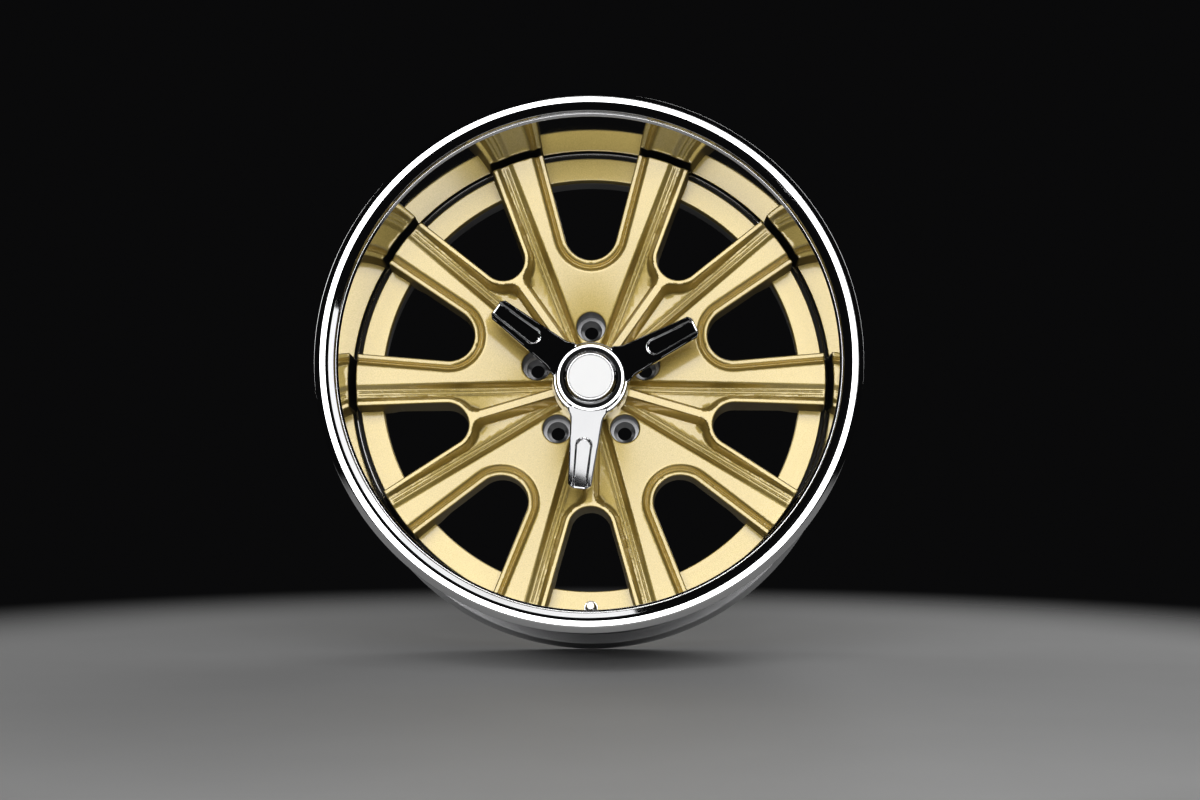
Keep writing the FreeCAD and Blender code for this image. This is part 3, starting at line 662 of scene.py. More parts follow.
@dataclass(frozen=True)
class Window:
    """U-shaped window on its own axis, in millimetres."""

    centre: float
    arc: float
    slant_degrees: float

    def frame(self, spread: float) -> tuple[float, float, float, float]:
        """Sizes of the outline, widened by a distance.

        Args:
            spread: Distance into the metal.

        Returns:
            Arc radius, foot of the straight side, half width there and slant.
        """
        slant = math.radians(self.slant_degrees)
        arc = self.arc + spread
        return arc, self.centre - arc * math.sin(slant), arc * math.cos(slant), slant

    def distance(self, along: np.ndarray, across: np.ndarray) -> np.ndarray:
        """Distance from the window's edge, positive in the metal.

        Args:
            along: Places along the window's axis.
            across: Places across it.

        Returns:
            Distances.
        """
        arc, foot, half, slant = self.frame(0.0)
        side = np.abs(across)
        past = (along - foot) * math.cos(slant) + (side - half) * math.sin(slant)
        to_side = (side - half) * math.cos(slant) - (along - foot) * math.sin(slant)
        to_arc = np.hypot(along - self.centre, side) - arc
        return np.where(past > 0.0, to_side, to_arc)

    def edge(self, spread: float, reach: float, step: float) -> tuple[np.ndarray, np.ndarray]:
        """Half of the outline, widened by a distance, from its bottom out to a radius.

        Args:
            spread: Distance into the metal.
            reach: Radius from the wheel's axis where it ends.
            step: Distance between points.

        Returns:
            Points (along, across) and unit normals into the opening.
        """
        arc, foot, half, slant = self.frame(spread)
        turns = np.linspace(0.0, math.pi / 2 - slant, max(3, round(arc * (math.pi / 2 - slant) / step) + 1))
        points = [(self.centre - arc * math.cos(t), arc * math.sin(t)) for t in turns]
        normals = [(math.cos(t), -math.sin(t)) for t in turns]
        lean = foot * math.cos(slant) + half * math.sin(slant)
        length = -lean + math.sqrt(lean * lean - (foot * foot + half * half - reach * reach))
        for run in np.linspace(0.0, length, max(2, round(length / step) + 1))[1:]:
            points.append((foot + run * math.cos(slant), half + run * math.sin(slant)))
            normals.append((math.sin(slant), -math.cos(slant)))
        return np.array(points), np.array(normals)


class Skin:
    """Vertices, faces and face marks of half a sector, gathered part by part."""

    def __init__(self) -> None:
        """Start empty."""
        self.verts: list[tuple] = []
        self.faces: list[list[int]] = []
        self.marks: list[str] = []

    def ring(self, points: np.ndarray, depths: np.ndarray | float) -> list[int]:
        """Add a row of vertices.

        Args:
            points: Places (along, across).
            depths: Depth of each place, or one depth for all.

        Returns:
            Numbers of the vertices.
        """
        start = len(self.verts)
        self.verts.extend((p[0], p[1], d) for p, d in zip(points, np.broadcast_to(depths, len(points))))
        return list(range(start, len(self.verts)))

    def strip(self, rings: Sequence[list[int]], labels: Sequence[str | list[str]]) -> None:
        """Add faces between rows of vertices.

        Args:
            rings: Rows of equal length.
            labels: Mark of the faces after each row, one for all or one for each.
        """
        for first, second, label in zip(rings, rings[1:], labels):
            for k in range(len(first) - 1):
                self.faces.append([first[k], first[k + 1], second[k + 1], second[k]])
                self.marks.append(label if isinstance(label, str) else label[k])

    def sheet(self, points: np.ndarray, depths: np.ndarray, triangles: list) -> None:
        """Add triangles without a mark.

        Args:
            points: Places (along, across).
            depths: Depth of each place.
            triangles: Numbers of the places of each triangle.
        """
        start = self.ring(points, depths)[0]
        self.faces.extend([start + i for i in triangle] for triangle in triangles)
        self.marks.extend([""] * len(triangles))


@dataclass
class ForgedCentre:
    """Gold centre with its ten spokes and hoop. Sizes in millimetres, depths behind the rim's front edge."""

    plain: Window = Window(157.7, 27.7, 15.0)
    ribbed: Window = Window(156.9, 22.7, 15.5)
    spoke_end: float = 244.2
    end_slack: float = 0.02
    face_rim: float = 120.0
    face_hub: float = 157.0
    hub_land: float = 44.0
    cap_seat: float = 41.0
    rib_profile: tuple = ((41.0, 139.0), (150.0, 123.0), (241.5, 119.5))
    knee_blend: float = 3.0
    back_profile: tuple = ((35.0, 196.0), (84.0, 196.0), (100.0, 177.0), (200.0, 158.0), (214.5, 165.9),
                           (247.0, 165.9))
    back_round: float = 3.5
    back_samples: int = 7
    rib_half: float = 3.6
    ribbed_bead: float = 4.4
    wall_run: float = 5.6
    wall_power: float = 0.8
    rib_blend: float = 9.0
    floor_drop: float = 7.0
    end_drop: float = 2.2
    drop_from: float = 95.0
    drop_run: float = 135.0
    line_height: float = 0.7
    line_half: float = 0.95
    lines: tuple = (1.3, 5.7)
    petal_half: float = 39.3
    petal_radius: float = 120.0
    petal_spread: float = 0.385
    slope_run: float = 7.2
    plain_bead: float = 4.2
    groove_width: float = 8.0
    groove_depth: float = 4.2
    groove_fall: float = 0.36
    edge_round: float = 1.3
    draft_degrees: float = 2.0
    bore: float = 34.0
    pilot: float = 35.3
    pilot_depth: float = 178.0
    lug_circle: float = 60.325
    lug_pocket: float = 15.0
    lug_round: float = 1.6
    lug_seat: float = 181.0
    lug_cone: float = 11.5
    lug_hole: float = 7.5
    hoop_inner: float = 219.5
    hoop_outer: float = 244.0
    hoop_register: float = 246.8
    hoop_face: float = 154.0
    hoop_step: float = 161.0
    hoop_back: float = 166.0
    hoop_round: float = 1.2
    hoop_back_round: float = 0.8
    painted_shade_inset: float = 0.3
    hoop_segments: int = 240
    valve_radius: float = 236.0
    valve_hole: float = 6.8
    drill_reach: float = 20.0
    drill_segments: int = 40
    sectors: int = 5
    sharp_degrees: float = 40.0
    hoop_sharp: float = 30.0
    merge: float = 4e-6
    # Spacing of the vertices: rows beside the beads, the ribs, the petals and the lug holes, and plain grids
    step: float = 2.1
    bead_rows: tuple = (2.4, 3.5, 4.0, 4.5, 5.2, 6.1, 7.0, 7.8, 8.6, 9.5, 10.4, 11.1, 12.4, 12.2, 14.0)
    rib_rows: tuple = (-2.2, -1.0, -0.3)
    wall_shares: tuple = (0.05, 0.12, 0.2, 0.3, 0.4, 0.5, 0.6, 0.72, 0.86, 1.0, 1.3)
    slope_shares: tuple = (-0.15, 0.0, 0.1, 0.22, 0.34, 0.46, 0.58, 0.7, 0.82, 0.94)
    line_shifts: tuple = (-1.7, -1.1, -0.55, 0.0, 0.55, 1.1, 1.7)
    lug_rows: tuple = (0.8, 2.0, 4.0)
    lug_row_points: int = 26
    lug_row_start: float = 0.02
    petal_start: float = 30.0
    front_grid: tuple = (40.0, 4.2)
    back_grid: tuple = (36.0, 9.0)
    front_gap: float = 0.42
    back_gap: float = 3.0
    edge_share: float = 0.35
    lug_points: int = 29
    hub_points: int = 17
    fan_points: int = 4

    @property
    def pitch(self) -> float:
        """Angle from a plain window to the next ribbed one."""
        return math.pi / self.sectors

    def face_level(self, radius: np.ndarray) -> np.ndarray:
        """Depth of the main face at a radius."""
        share = (np.maximum(radius, self.hub_land) - self.hub_land) / (self.spoke_end - self.hub_land)
        return self.face_hub + (self.face_rim - self.face_hub) * share

    def rib_level(self, radius: np.ndarray) -> np.ndarray:
        """Depth of the raised face, with a soft knee.

        Args:
            radius: Distances from the axis.

        Returns:
            Depths behind the rim's front edge.
        """
        (r0, d0), (r1, d1), (r2, d2) = self.rib_profile
        inner = d1 + (d0 - d1) * (radius - r1) / (r0 - r1)
        outer = d1 + (d2 - d1) * (radius - r1) / (r2 - r1)
        return -smooth_min(-inner, -outer, self.knee_blend)

    def to_ribbed(self, along: np.ndarray, across: np.ndarray) -> tuple[np.ndarray, np.ndarray]:
        """Places in the frame of the ribbed window beside a plain one."""
        c, s = math.cos(self.pitch), math.sin(self.pitch)
        return along * c + across * s, along * s - across * c

    def level(self, points: np.ndarray) -> np.ndarray:
        """Depth of the front surface.

        Args:
            points: Places (along, across) in the frame of a plain window, across from 0 up.

        Returns:
            Depths behind the rim's front edge.
        """
        along, across = points[:, 0], points[:, 1]
        radius = np.hypot(along, across)
        rib_along, rib_across = self.to_ribbed(along, across)
        to_plain = self.plain.distance(along, across)
        to_ribbed = self.ribbed.distance(rib_along, rib_across)
        fade = smooth_step((radius - self.drop_from) / self.drop_run)
        drop = self.floor_drop - (self.floor_drop - self.end_drop) * fade
        slope = across - self.petal_half - self.petal_spread * (along - self.petal_radius)
        slope = slope / math.hypot(1, self.petal_spread)
        base = self.face_level(radius) + drop * smooth_step(slope / self.slope_run)
        for line in self.lines:
            base = base - self.line_height * np.exp(-((slope - self.slope_run - line) / self.line_half) ** 2)
        share = (to_plain - self.plain_bead) / self.groove_width
        rising = 1.0 - smooth_step((share - self.groove_fall) / (1.0 - self.groove_fall))
        base = base + self.groove_depth * smooth_step(share / self.groove_fall) * rising
        raised = smooth_min(to_ribbed - self.ribbed_bead, np.abs(rib_across) - self.rib_half, self.rib_blend)
        rise = smooth_step(np.clip(raised / self.wall_run, 0.0, 1.0) ** self.wall_power)
        return self.rib_level(radius) + (base - self.rib_level(radius)) * rise

    def back_level(self, radius: np.ndarray) -> np.ndarray:
        """Depth of the rear surface, with rounded bends.

        Args:
            radius: Distances from the axis.

        Returns:
            Depths behind the rim's front edge.
        """
        table = np.array(self.back_profile)
        shifts = np.linspace(-self.back_round, self.back_round, self.back_samples)
        return np.mean([np.interp(radius + shift, table[:, 0], table[:, 1]) for shift in shifts], axis=0)

    def fan(self, at: np.ndarray, before: np.ndarray, after: np.ndarray) -> tuple[np.ndarray, np.ndarray]:
        """Normals that turn round one corner.

        Args:
            at: The corner.
            before: Normal before it.
            after: Normal after it.

        Returns:
            The corner once for each normal, and the normals.
        """
        shares = np.linspace(0.0, 1.0, self.fan_points + 2)[1:-1, None]
        turned = before * (1 - shares) + after * shares
        return np.repeat(at[None], self.fan_points, 0), turned / np.linalg.norm(turned, axis=1)[:, None]

    def rim_line(self) -> tuple[np.ndarray, np.ndarray]:
        """Edge of half a sector from the plain window round the spoke's end to the ribbed window.

        Returns:
            Points just inside the rounded edge, and unit normals out of the metal.
        """
        inset, reach = self.edge_round, self.spoke_end - self.edge_round
        first, first_out = self.plain.edge(inset, reach, self.step)
        second, second_out = (np.stack(self.to_ribbed(*part.T), 1)
                              for part in self.ribbed.edge(inset, reach, self.step))
        start, end = (math.atan2(p[1], p[0]) for p in (first[-1], second[-1]))
        turns = np.linspace(start, end, round(reach * (end - start) / self.step) + 1)
        arc_out = np.stack([np.cos(turns), np.sin(turns)], 1)
        near, near_out = self.fan(first[-1], first_out[-1], arc_out[0])
        far, far_out = self.fan(second[-1], arc_out[-1], second_out[-1])
        points = np.concatenate([first, near, reach * arc_out, far, second[::-1]])
        normals = np.concatenate([first_out, near_out, arc_out, far_out, second_out[::-1]])
        return points, normals

    def grid(self, start: float, step: float) -> np.ndarray:
        """Plain grid of places from a distance along the window's axis."""
        return np.mgrid[start:self.spoke_end:step, 0.0:self.spoke_end:step].reshape(2, -1).T

    def rows(self) -> np.ndarray:
        """Places on lines that follow the beads, the groove, the ribs and the petals.

        Returns:
            Places (along, across), the most important first.
        """
        reach = self.spoke_end
        parts = [self.plain.edge(spread, reach, self.step)[0] for spread in self.bead_rows]
        line = np.arange(self.cap_seat, self.ribbed.centre, self.step)
        for spread in (*self.rib_rows, *(self.wall_run * share for share in self.wall_shares)):
            edge = self.ribbed.edge(self.ribbed_bead + spread, reach, self.step)[0]
            parts.append(np.stack(self.to_ribbed(*edge.T), 1))
            parts.append(np.stack(self.to_ribbed(line, np.full_like(line, self.rib_half + spread)), 1))
        line = np.arange(self.petal_start, reach, self.step)
        slope_rows = [self.slope_run * share for share in self.slope_shares]
        line_rows = [self.slope_run + at + shift * self.line_half
                     for at in self.lines for shift in self.line_shifts]
        for offset in slope_rows + line_rows:
            across = self.petal_half + self.petal_spread * (line - self.petal_radius)
            parts.append(np.stack([line, across + offset * math.hypot(1.0, self.petal_spread)], 1))
        turns = np.linspace(self.lug_row_start, math.pi - self.lug_row_start, self.lug_row_points)
        parts += [self.lug_places(self.lug_pocket + self.lug_round + extra, turns) for extra in self.lug_rows]
        parts.append(self.grid(*self.front_grid))
        return np.concatenate(parts)

    def lug_places(self, radius: float, turns: np.ndarray) -> np.ndarray:
        """Places round the lug hole at a radius and at angles from the outward direction."""
        return np.stack([self.lug_circle + radius * np.cos(turns), radius * np.sin(turns)], 1)

    def lug_arc(self, radius: float) -> np.ndarray:
        """Half circle round the lug hole, from the hub outwards."""
        return self.lug_places(radius, np.linspace(math.pi, 0.0, self.lug_points))

    def hub_arc(self, radius: float) -> np.ndarray:
        """Arc round the hub from the rib's axis to the plain window's axis."""
        turns = np.linspace(self.pitch, 0.0, self.hub_points)
        return radius * np.stack([np.cos(turns), np.sin(turns)], 1)

    @staticmethod
    def run(start: np.ndarray, end: np.ndarray, step: float) -> np.ndarray:
        """Points between two points, without the ends."""
        count = max(1, round(float(np.linalg.norm(end - start)) / step))
        return start + (end - start) * np.linspace(0.0, 1.0, count + 1)[1:-1, None]

    def sheet(self, hub: np.ndarray, lug: np.ndarray, rim: np.ndarray, inner: np.ndarray,
              gap: float) -> tuple[np.ndarray, list]:
        """Triangles of half a sector inside its edges.

        Args:
            hub: Arc round the hub.
            lug: Half circle round the lug hole.
            rim: Edge along the windows and the spoke's end.
            inner: Places to use inside.
            gap: Least distance between them.

        Returns:
            Points and triangles.
        """
        loop = np.concatenate([
            hub[-1:], self.run(hub[-1], lug[0], self.step), lug, self.run(lug[-1], rim[0], self.step),
            rim, self.run(rim[-1], hub[0], self.step), hub[:-1]])
        fresh = np.concatenate([[True], np.linalg.norm(np.diff(loop, axis=0), axis=1) > TINY])
        loop = loop[fresh]
        kept = self.inside(inner, loop)
        kept = kept[self.clearance(kept, loop) > self.edge_share * self.step]
        kept = self.thin(kept, gap)
        places = [Vector(p) for p in np.concatenate([loop, kept])]
        edges = [(i, (i + 1) % len(loop)) for i in range(len(loop))]
        points, _, faces, *_ = delaunay_2d_cdt(places, edges, [], 1, 1e-7)
        return np.array([(p.x, p.y) for p in points]), [list(f) for f in faces]

    @staticmethod
    def inside(points: np.ndarray, loop: np.ndarray) -> np.ndarray:
        """Pick the points that lie inside a closed loop.

        Args:
            points: Points to choose from.
            loop: Corners of the loop in order.

        Returns:
            The points inside.
        """
        x, y = points[:, :1], points[:, 1:]
        ax, ay = loop[:, 0], loop[:, 1]
        bx, by = np.roll(ax, -1), np.roll(ay, -1)
        crosses = (ay > y) != (by > y)
        at = ax + (bx - ax) * (y - ay) / np.where(by == ay, 1e-12, by - ay)
        return points[(crosses & (x < at)).sum(1) % 2 == 1]

    @staticmethod
    def clearance(points: np.ndarray, loop: np.ndarray) -> np.ndarray:
        """Distance of each point from a closed loop.

        Args:
            points: The points.
            loop: Corners of the loop in order.

        Returns:
            Distances.
        """
        run = np.roll(loop, -1, 0) - loop
        length = np.maximum((run * run).sum(1), 1e-12)
        share = np.clip(((points[:, None] - loop) * run).sum(2) / length, 0.0, 1.0)
        return np.linalg.norm(points[:, None] - loop - share[..., None] * run, axis=2).min(1)

    @staticmethod
    def thin(points: np.ndarray, gap: float) -> np.ndarray:
        """Keep points in order, without those too near an earlier one.

        Args:
            points: The points, the most important first.
            gap: Least distance between two of them.

        Returns:
            The points kept.
        """
        cells: dict[tuple[int, int], list[np.ndarray]] = {}
        kept = []
        for point in points:
            i, k = int(point[0] // gap), int(point[1] // gap)
            near = (q for a in (i - 1, i, i + 1) for b in (k - 1, k, k + 1) for q in cells.get((a, b), ()))
            if all((q[0] - point[0]) ** 2 + (q[1] - point[1]) ** 2 > gap * gap for q in near):
                cells.setdefault((i, k), []).append(point)
                kept.append(point)
        return np.array(kept)

    def window_walls(self, skin: Skin, rim: np.ndarray, out: np.ndarray) -> np.ndarray:
        """Rounded edge and drafted walls along the windows and the spoke's end.

        Args:
            skin: Skin that takes them.
            rim: Points just inside the rounded edge.
            out: Unit normals out of the metal.

        Returns:
            Rear edge of the walls.
        """
        top = self.level(rim)
        rings = [skin.ring(rim + out * self.edge_round * math.sin(t),
                           top + self.edge_round * (1 - math.cos(t))) for t in QUARTER_TURN]
        edge = rim + out * self.edge_round
        fall = math.tan(math.radians(self.draft_degrees))
        deep = self.back_level(np.hypot(*edge.T))
        foot = edge
        for depth in ((top + self.edge_round + deep) / 2, deep):
            foot = edge + out * (fall * (depth - top))[:, None]
            rings.append(skin.ring(foot, depth))
        # Spoke-end walls take near-black painted shade and the other window walls dark gold painted shade.
        end = np.hypot(*edge.T) > self.spoke_end - self.end_slack
        walls = ["gap" if a and b else "wall" for a, b in zip(end, end[1:])]
        skin.strip(rings, [""] * 4 + [walls] * 2)
        return foot

    def lug_bore(self, skin: Skin, mouth: np.ndarray) -> None:
        """Pocket, seat and hole of a lug.

        Args:
            skin: Skin that takes them.
            mouth: Half circle round the pocket.
        """
        top = self.level(mouth)
        rings = [skin.ring(self.lug_arc(self.lug_pocket + self.lug_round * (1 - math.sin(t))),
                           top + self.lug_round * (1 - math.cos(t))) for t in QUARTER_TURN]
        cone_end = self.lug_seat + (self.lug_cone - self.lug_hole) * math.sqrt(3.0)
        rings += [skin.ring(self.lug_arc(radius), depth) for radius, depth in (
            (self.lug_pocket, self.lug_seat), (self.lug_cone, self.lug_seat),
            (self.lug_hole, cone_end), (self.lug_hole, HUB_DEPTH))]
        skin.strip(rings, [""] * 3 + ["bare"] * 5)

    def hub_bore(self, skin: Skin, mouth: np.ndarray) -> None:
        """Seat of the cap and bores of the hub.

        Args:
            skin: Skin that takes them.
            mouth: Arc at the inner ends of the ribs.
        """
        rings = [skin.ring(mouth, np.minimum(self.level(mouth), self.face_hub))]
        rings += [skin.ring(self.hub_arc(radius), depth) for radius, depth in (
            (self.cap_seat, self.face_hub), (self.bore, self.face_hub), (self.bore, self.pilot_depth),
            (self.pilot, self.pilot_depth), (self.pilot, HUB_DEPTH))]
        skin.strip(rings, [""] * 2 + ["bare"] * 3)

    def rear(self, skin: Skin, foot: np.ndarray) -> None:
        """Rear surface.

        Args:
            skin: Skin that takes it.
            foot: Rear edge of the walls.
        """
        arcs = [self.hub_arc(radius + shift) for radius, _ in self.back_profile[1:-1]
                for shift in (0.0, -self.back_round, self.back_round)]
        points, triangles = self.sheet(self.hub_arc(self.pilot), self.lug_arc(self.lug_hole), foot,
                                       np.concatenate([*arcs, self.grid(*self.back_grid)]), self.back_gap)
        skin.sheet(points, self.back_level(np.hypot(*points.T)), [triangle[::-1] for triangle in triangles])

    def half_sector(self) -> Skin:
        """Closed skin of half a sector, apart from its two mirror planes.

        Returns:
            The skin, with vertices as (along, across, depth).
        """
        skin = Skin()
        rim, out = self.rim_line()
        lug = self.lug_arc(self.lug_pocket + self.lug_round)
        hub = self.hub_arc(self.cap_seat)
        points, triangles = self.sheet(hub, lug, rim, self.rows(), self.front_gap)
        skin.sheet(points, self.level(points), triangles)
        foot = self.window_walls(skin, rim, out)
        self.lug_bore(skin, lug)
        self.hub_bore(skin, hub)
        self.rear(skin, foot)
        return skin

    def sector_mesh(self) -> bpy.types.Mesh:
        """Both halves of the sector at the top of the wheel.

        Returns:
            The mesh, with its marked faces in named attributes.
        """
        skin = self.half_sector()
        count = len(skin.verts)
        placed = [(-side * u * MM, (d - HUB_DEPTH) * MM, v * MM)
                  for side in (1, -1) for v, u, d in skin.verts]
        both = skin.faces + [[count + i for i in reversed(face)] for face in skin.faces]
        mesh = bpy.data.meshes.new("centre_sector")
        mesh.from_pydata(placed, [], both)
        for name in FACE_MARKS:
            layer = mesh.attributes.new(name, "BOOLEAN", "FACE")
            layer.data.foreach_set("value", [mark == name for mark in skin.marks * 2])
        return mesh

    def hoop_mesh(self, finishes: Sequence[bpy.types.Material]) -> bpy.types.Mesh:
        """Ring behind the spoke ends, with the hole for the valve.

        Args:
            finishes: Gold, bare metal, the near-black painted shade for the hoop's outer groove and the dark
                gold painted shade.

        Returns:
            The mesh.
        """
        ring, _ = Outline([
            (self.hoop_inner, self.hoop_face, self.hoop_round),
            (self.hoop_outer, self.hoop_face, self.hoop_round),
            (self.hoop_outer, self.hoop_step), (self.hoop_register, self.hoop_step),
            (self.hoop_register, self.hoop_back), (self.hoop_inner, self.hoop_back, self.hoop_back_round),
        ], steps=4).turn(self.hoop_segments)
        for material in finishes:
            ring.materials.append(material)
        near, far = self.hoop_face - self.drill_reach, self.hoop_back + self.drill_reach
        drill, _ = Outline([(0, near), (self.valve_hole, near), (self.valve_hole, far), (0, far)],
                           closed=False).turn(self.drill_segments, self.valve_radius)
        for mesh in (ring, drill):
            finish_mesh(mesh, self.hoop_sharp)
        # Faces outside the hoop's outer edge, less a small inset, take the near-black painted shade.
        gap, edge = 1 + FACE_MARKS.index("gap"), self.hoop_outer - self.painted_shade_inset
        ring.polygons.foreach_set("material_index", [
            gap * (math.hypot(f.center.x, f.center.z) > edge * MM) for f in ring.polygons])
        piece, tool = new_piece("hoop_blank", ring), new_piece("hoop_drill", drill)
        cut = piece.modifiers.new("valve_hole", "BOOLEAN")
        cut.object, cut.operation, cut.solver = tool, "DIFFERENCE", "EXACT"
        return shown_mesh(piece, tool)

    def build(self, repeat: RingRepeat, paints: Paints) -> bpy.types.Object:
        """Build and dress the centre.

        Args:
            repeat: Tree that repeats a sector.
            paints: Materials.

        Returns:
            The piece.
        """
        names = (FinishName.GOLD, FinishName.BARE, FinishName.PAINTED_SHADE_GAP, FinishName.PAINTED_SHADE_WALL)
        finishes = [paints[name] for name in names]
        mesh = repeat.apply(self.sector_mesh(), self.sectors, finishes[0], finishes[1:])
        finish_mesh(mesh, self.sharp_degrees, self.merge)
        hoop = self.hoop_mesh(finishes)
        finish_mesh(hoop, self.hoop_sharp)
        join(mesh, hoop, self.sharp_degrees)
        return stand_in("forged_centre", mesh, "wheel_centre")


@dataclass
class RimBarrel:
    """Polished rim. Sizes in millimetres, depths behind its front edge."""

    flange: float = 272.0
    flange_setback: float = 4.0
    flange_roll: float = 5.0
    crest: float = 266.6
    crest_width: float = 5.8
    width: float = 280.0
    flange_depth: float = 12.5
    bead: float = 254.0
    bead_length: float = 24.0
    bead_fall: float = 2.0
    bead_chamfer: float = 3.0
    hump_run: float = 4.0
    hump_height: float = 1.4
    wall: float = 252.0
    lip_front: float = 248.8
    lip_rear: float = 247.0
    lip_rise: float = 2.0
    shoulder: float = 166.0
    shoulder_thickness: float = 6.0
    well: float = 227.5
    well_wall: float = 4.5
    well_end: float = 204.0
    well_round: float = 9.0
    ramp: float = 28.0
    ramp_shift: float = 2.0
    rear_bore: float = 248.5
    step_radius: float = 251.4
    step_depth: float = 10.6
    step_land: float = 0.3
    step_round: float = 0.2
    cove: float = 257.4
    cove_depth: float = 1.2
    cove_root: float = 3.55
    cove_inset: float = 0.8
    cove_round: float = 8.0
    ledge: float = 0.8
    ledge_depth: float = 152.6
    ledge_rise: float = 0.2
    segments: int = 288
    round_steps: int = 6
    sharp_degrees: float = 60.0

    def tyre_side(self, edge_round: float, wall_round: float) -> list[tuple]:
        """Corners from the outer edge of the front flange over the bead seat to the wall.

        Args:
            edge_round: Rounding of the flange's outer edge.
            wall_round: Rounding where the hump meets the wall.

        Returns:
            Radius, depth and rounding of each corner.
        """
        t, hump = self.flange_depth, self.flange_depth + self.bead_length
        return [
            (self.flange, self.flange_setback, edge_round),
            (self.flange, self.flange_setback + self.flange_roll, 2.5),
            (self.flange - self.flange_roll, t, 2.5), (self.bead + self.bead_chamfer, t, 2.0),
            (self.bead, t + self.bead_chamfer, 2.0), (self.bead - self.bead_fall, hump, 2.0),
            (self.wall + self.hump_height, hump + self.hump_run, 3.0),
            (self.wall, hump + 2 * self.hump_run, wall_round),
        ]

    def corners(self) -> tuple[list[tuple], int, int]:
        """Corners of the section.

        Returns:
            Radius, depth and rounding of each corner, and the first and last corner that face the tyre.
        """
        well_front = self.shoulder + self.shoulder_thickness
        ramp_end = self.well_end + self.ramp
        tyre = self.tyre_side(1.8, 4.0)
        tyre += [(self.wall, well_front, 2.5), (self.well, well_front, 1.5),
                 (self.well, self.well_end, self.well_round), (self.wall, ramp_end, self.well_round)]
        tyre += [(radius, self.width - depth, rounding)
                 for radius, depth, rounding in reversed(self.tyre_side(1.6, 3.0))]
        under = self.well - self.well_wall
        rear = [
            (self.crest, self.width, 3.0), (self.crest - self.crest_width, self.width, 3.0),
            (self.rear_bore, self.width - self.flange_depth, 8.0),
            (self.rear_bore, ramp_end + self.ramp_shift, self.well_round),
            (under, self.well_end + self.ramp_shift, self.well_round), (under, self.shoulder, 0.8),
        ]
        lip = [
            (self.lip_rear, self.shoulder, 0.4), (self.lip_rear, self.ledge_depth, self.step_round),
            (self.lip_rear + self.ledge, self.ledge_depth - self.ledge_rise, self.step_round),
            (self.lip_front, self.step_depth + self.lip_rise, 0.7),
            (self.step_radius - self.step_land, self.step_depth, self.step_round),
            (self.step_radius, self.step_depth, self.step_round),
            (self.step_radius + self.cove_inset, self.cove_root, 0.8),
            (self.cove, self.cove_depth, self.cove_round),
            (self.crest - self.crest_width, 0.0, 2.2), (self.crest, 0.0, 3.2),
        ]
        return tyre + rear + lip, 1, len(tyre) + len(rear) - 1

    def build(self, paints: Paints) -> bpy.types.Object:
        """Build and dress the rim.

        Args:
            paints: Materials.

        Returns:
            The piece.
        """
        corners, first, last = self.corners()
        mesh, marks = Outline(corners, steps=self.round_steps).turn(self.segments)
        mesh.materials.append(paints[FinishName.POLISHED])
        mesh.materials.append(paints[FinishName.TURNED])
        mesh.polygons.foreach_set("material_index", [int(first <= mark < last) for mark in marks])
        finish_mesh(mesh, self.sharp_degrees)
        return stand_in("polished_barrel", mesh, "rim_barrel")


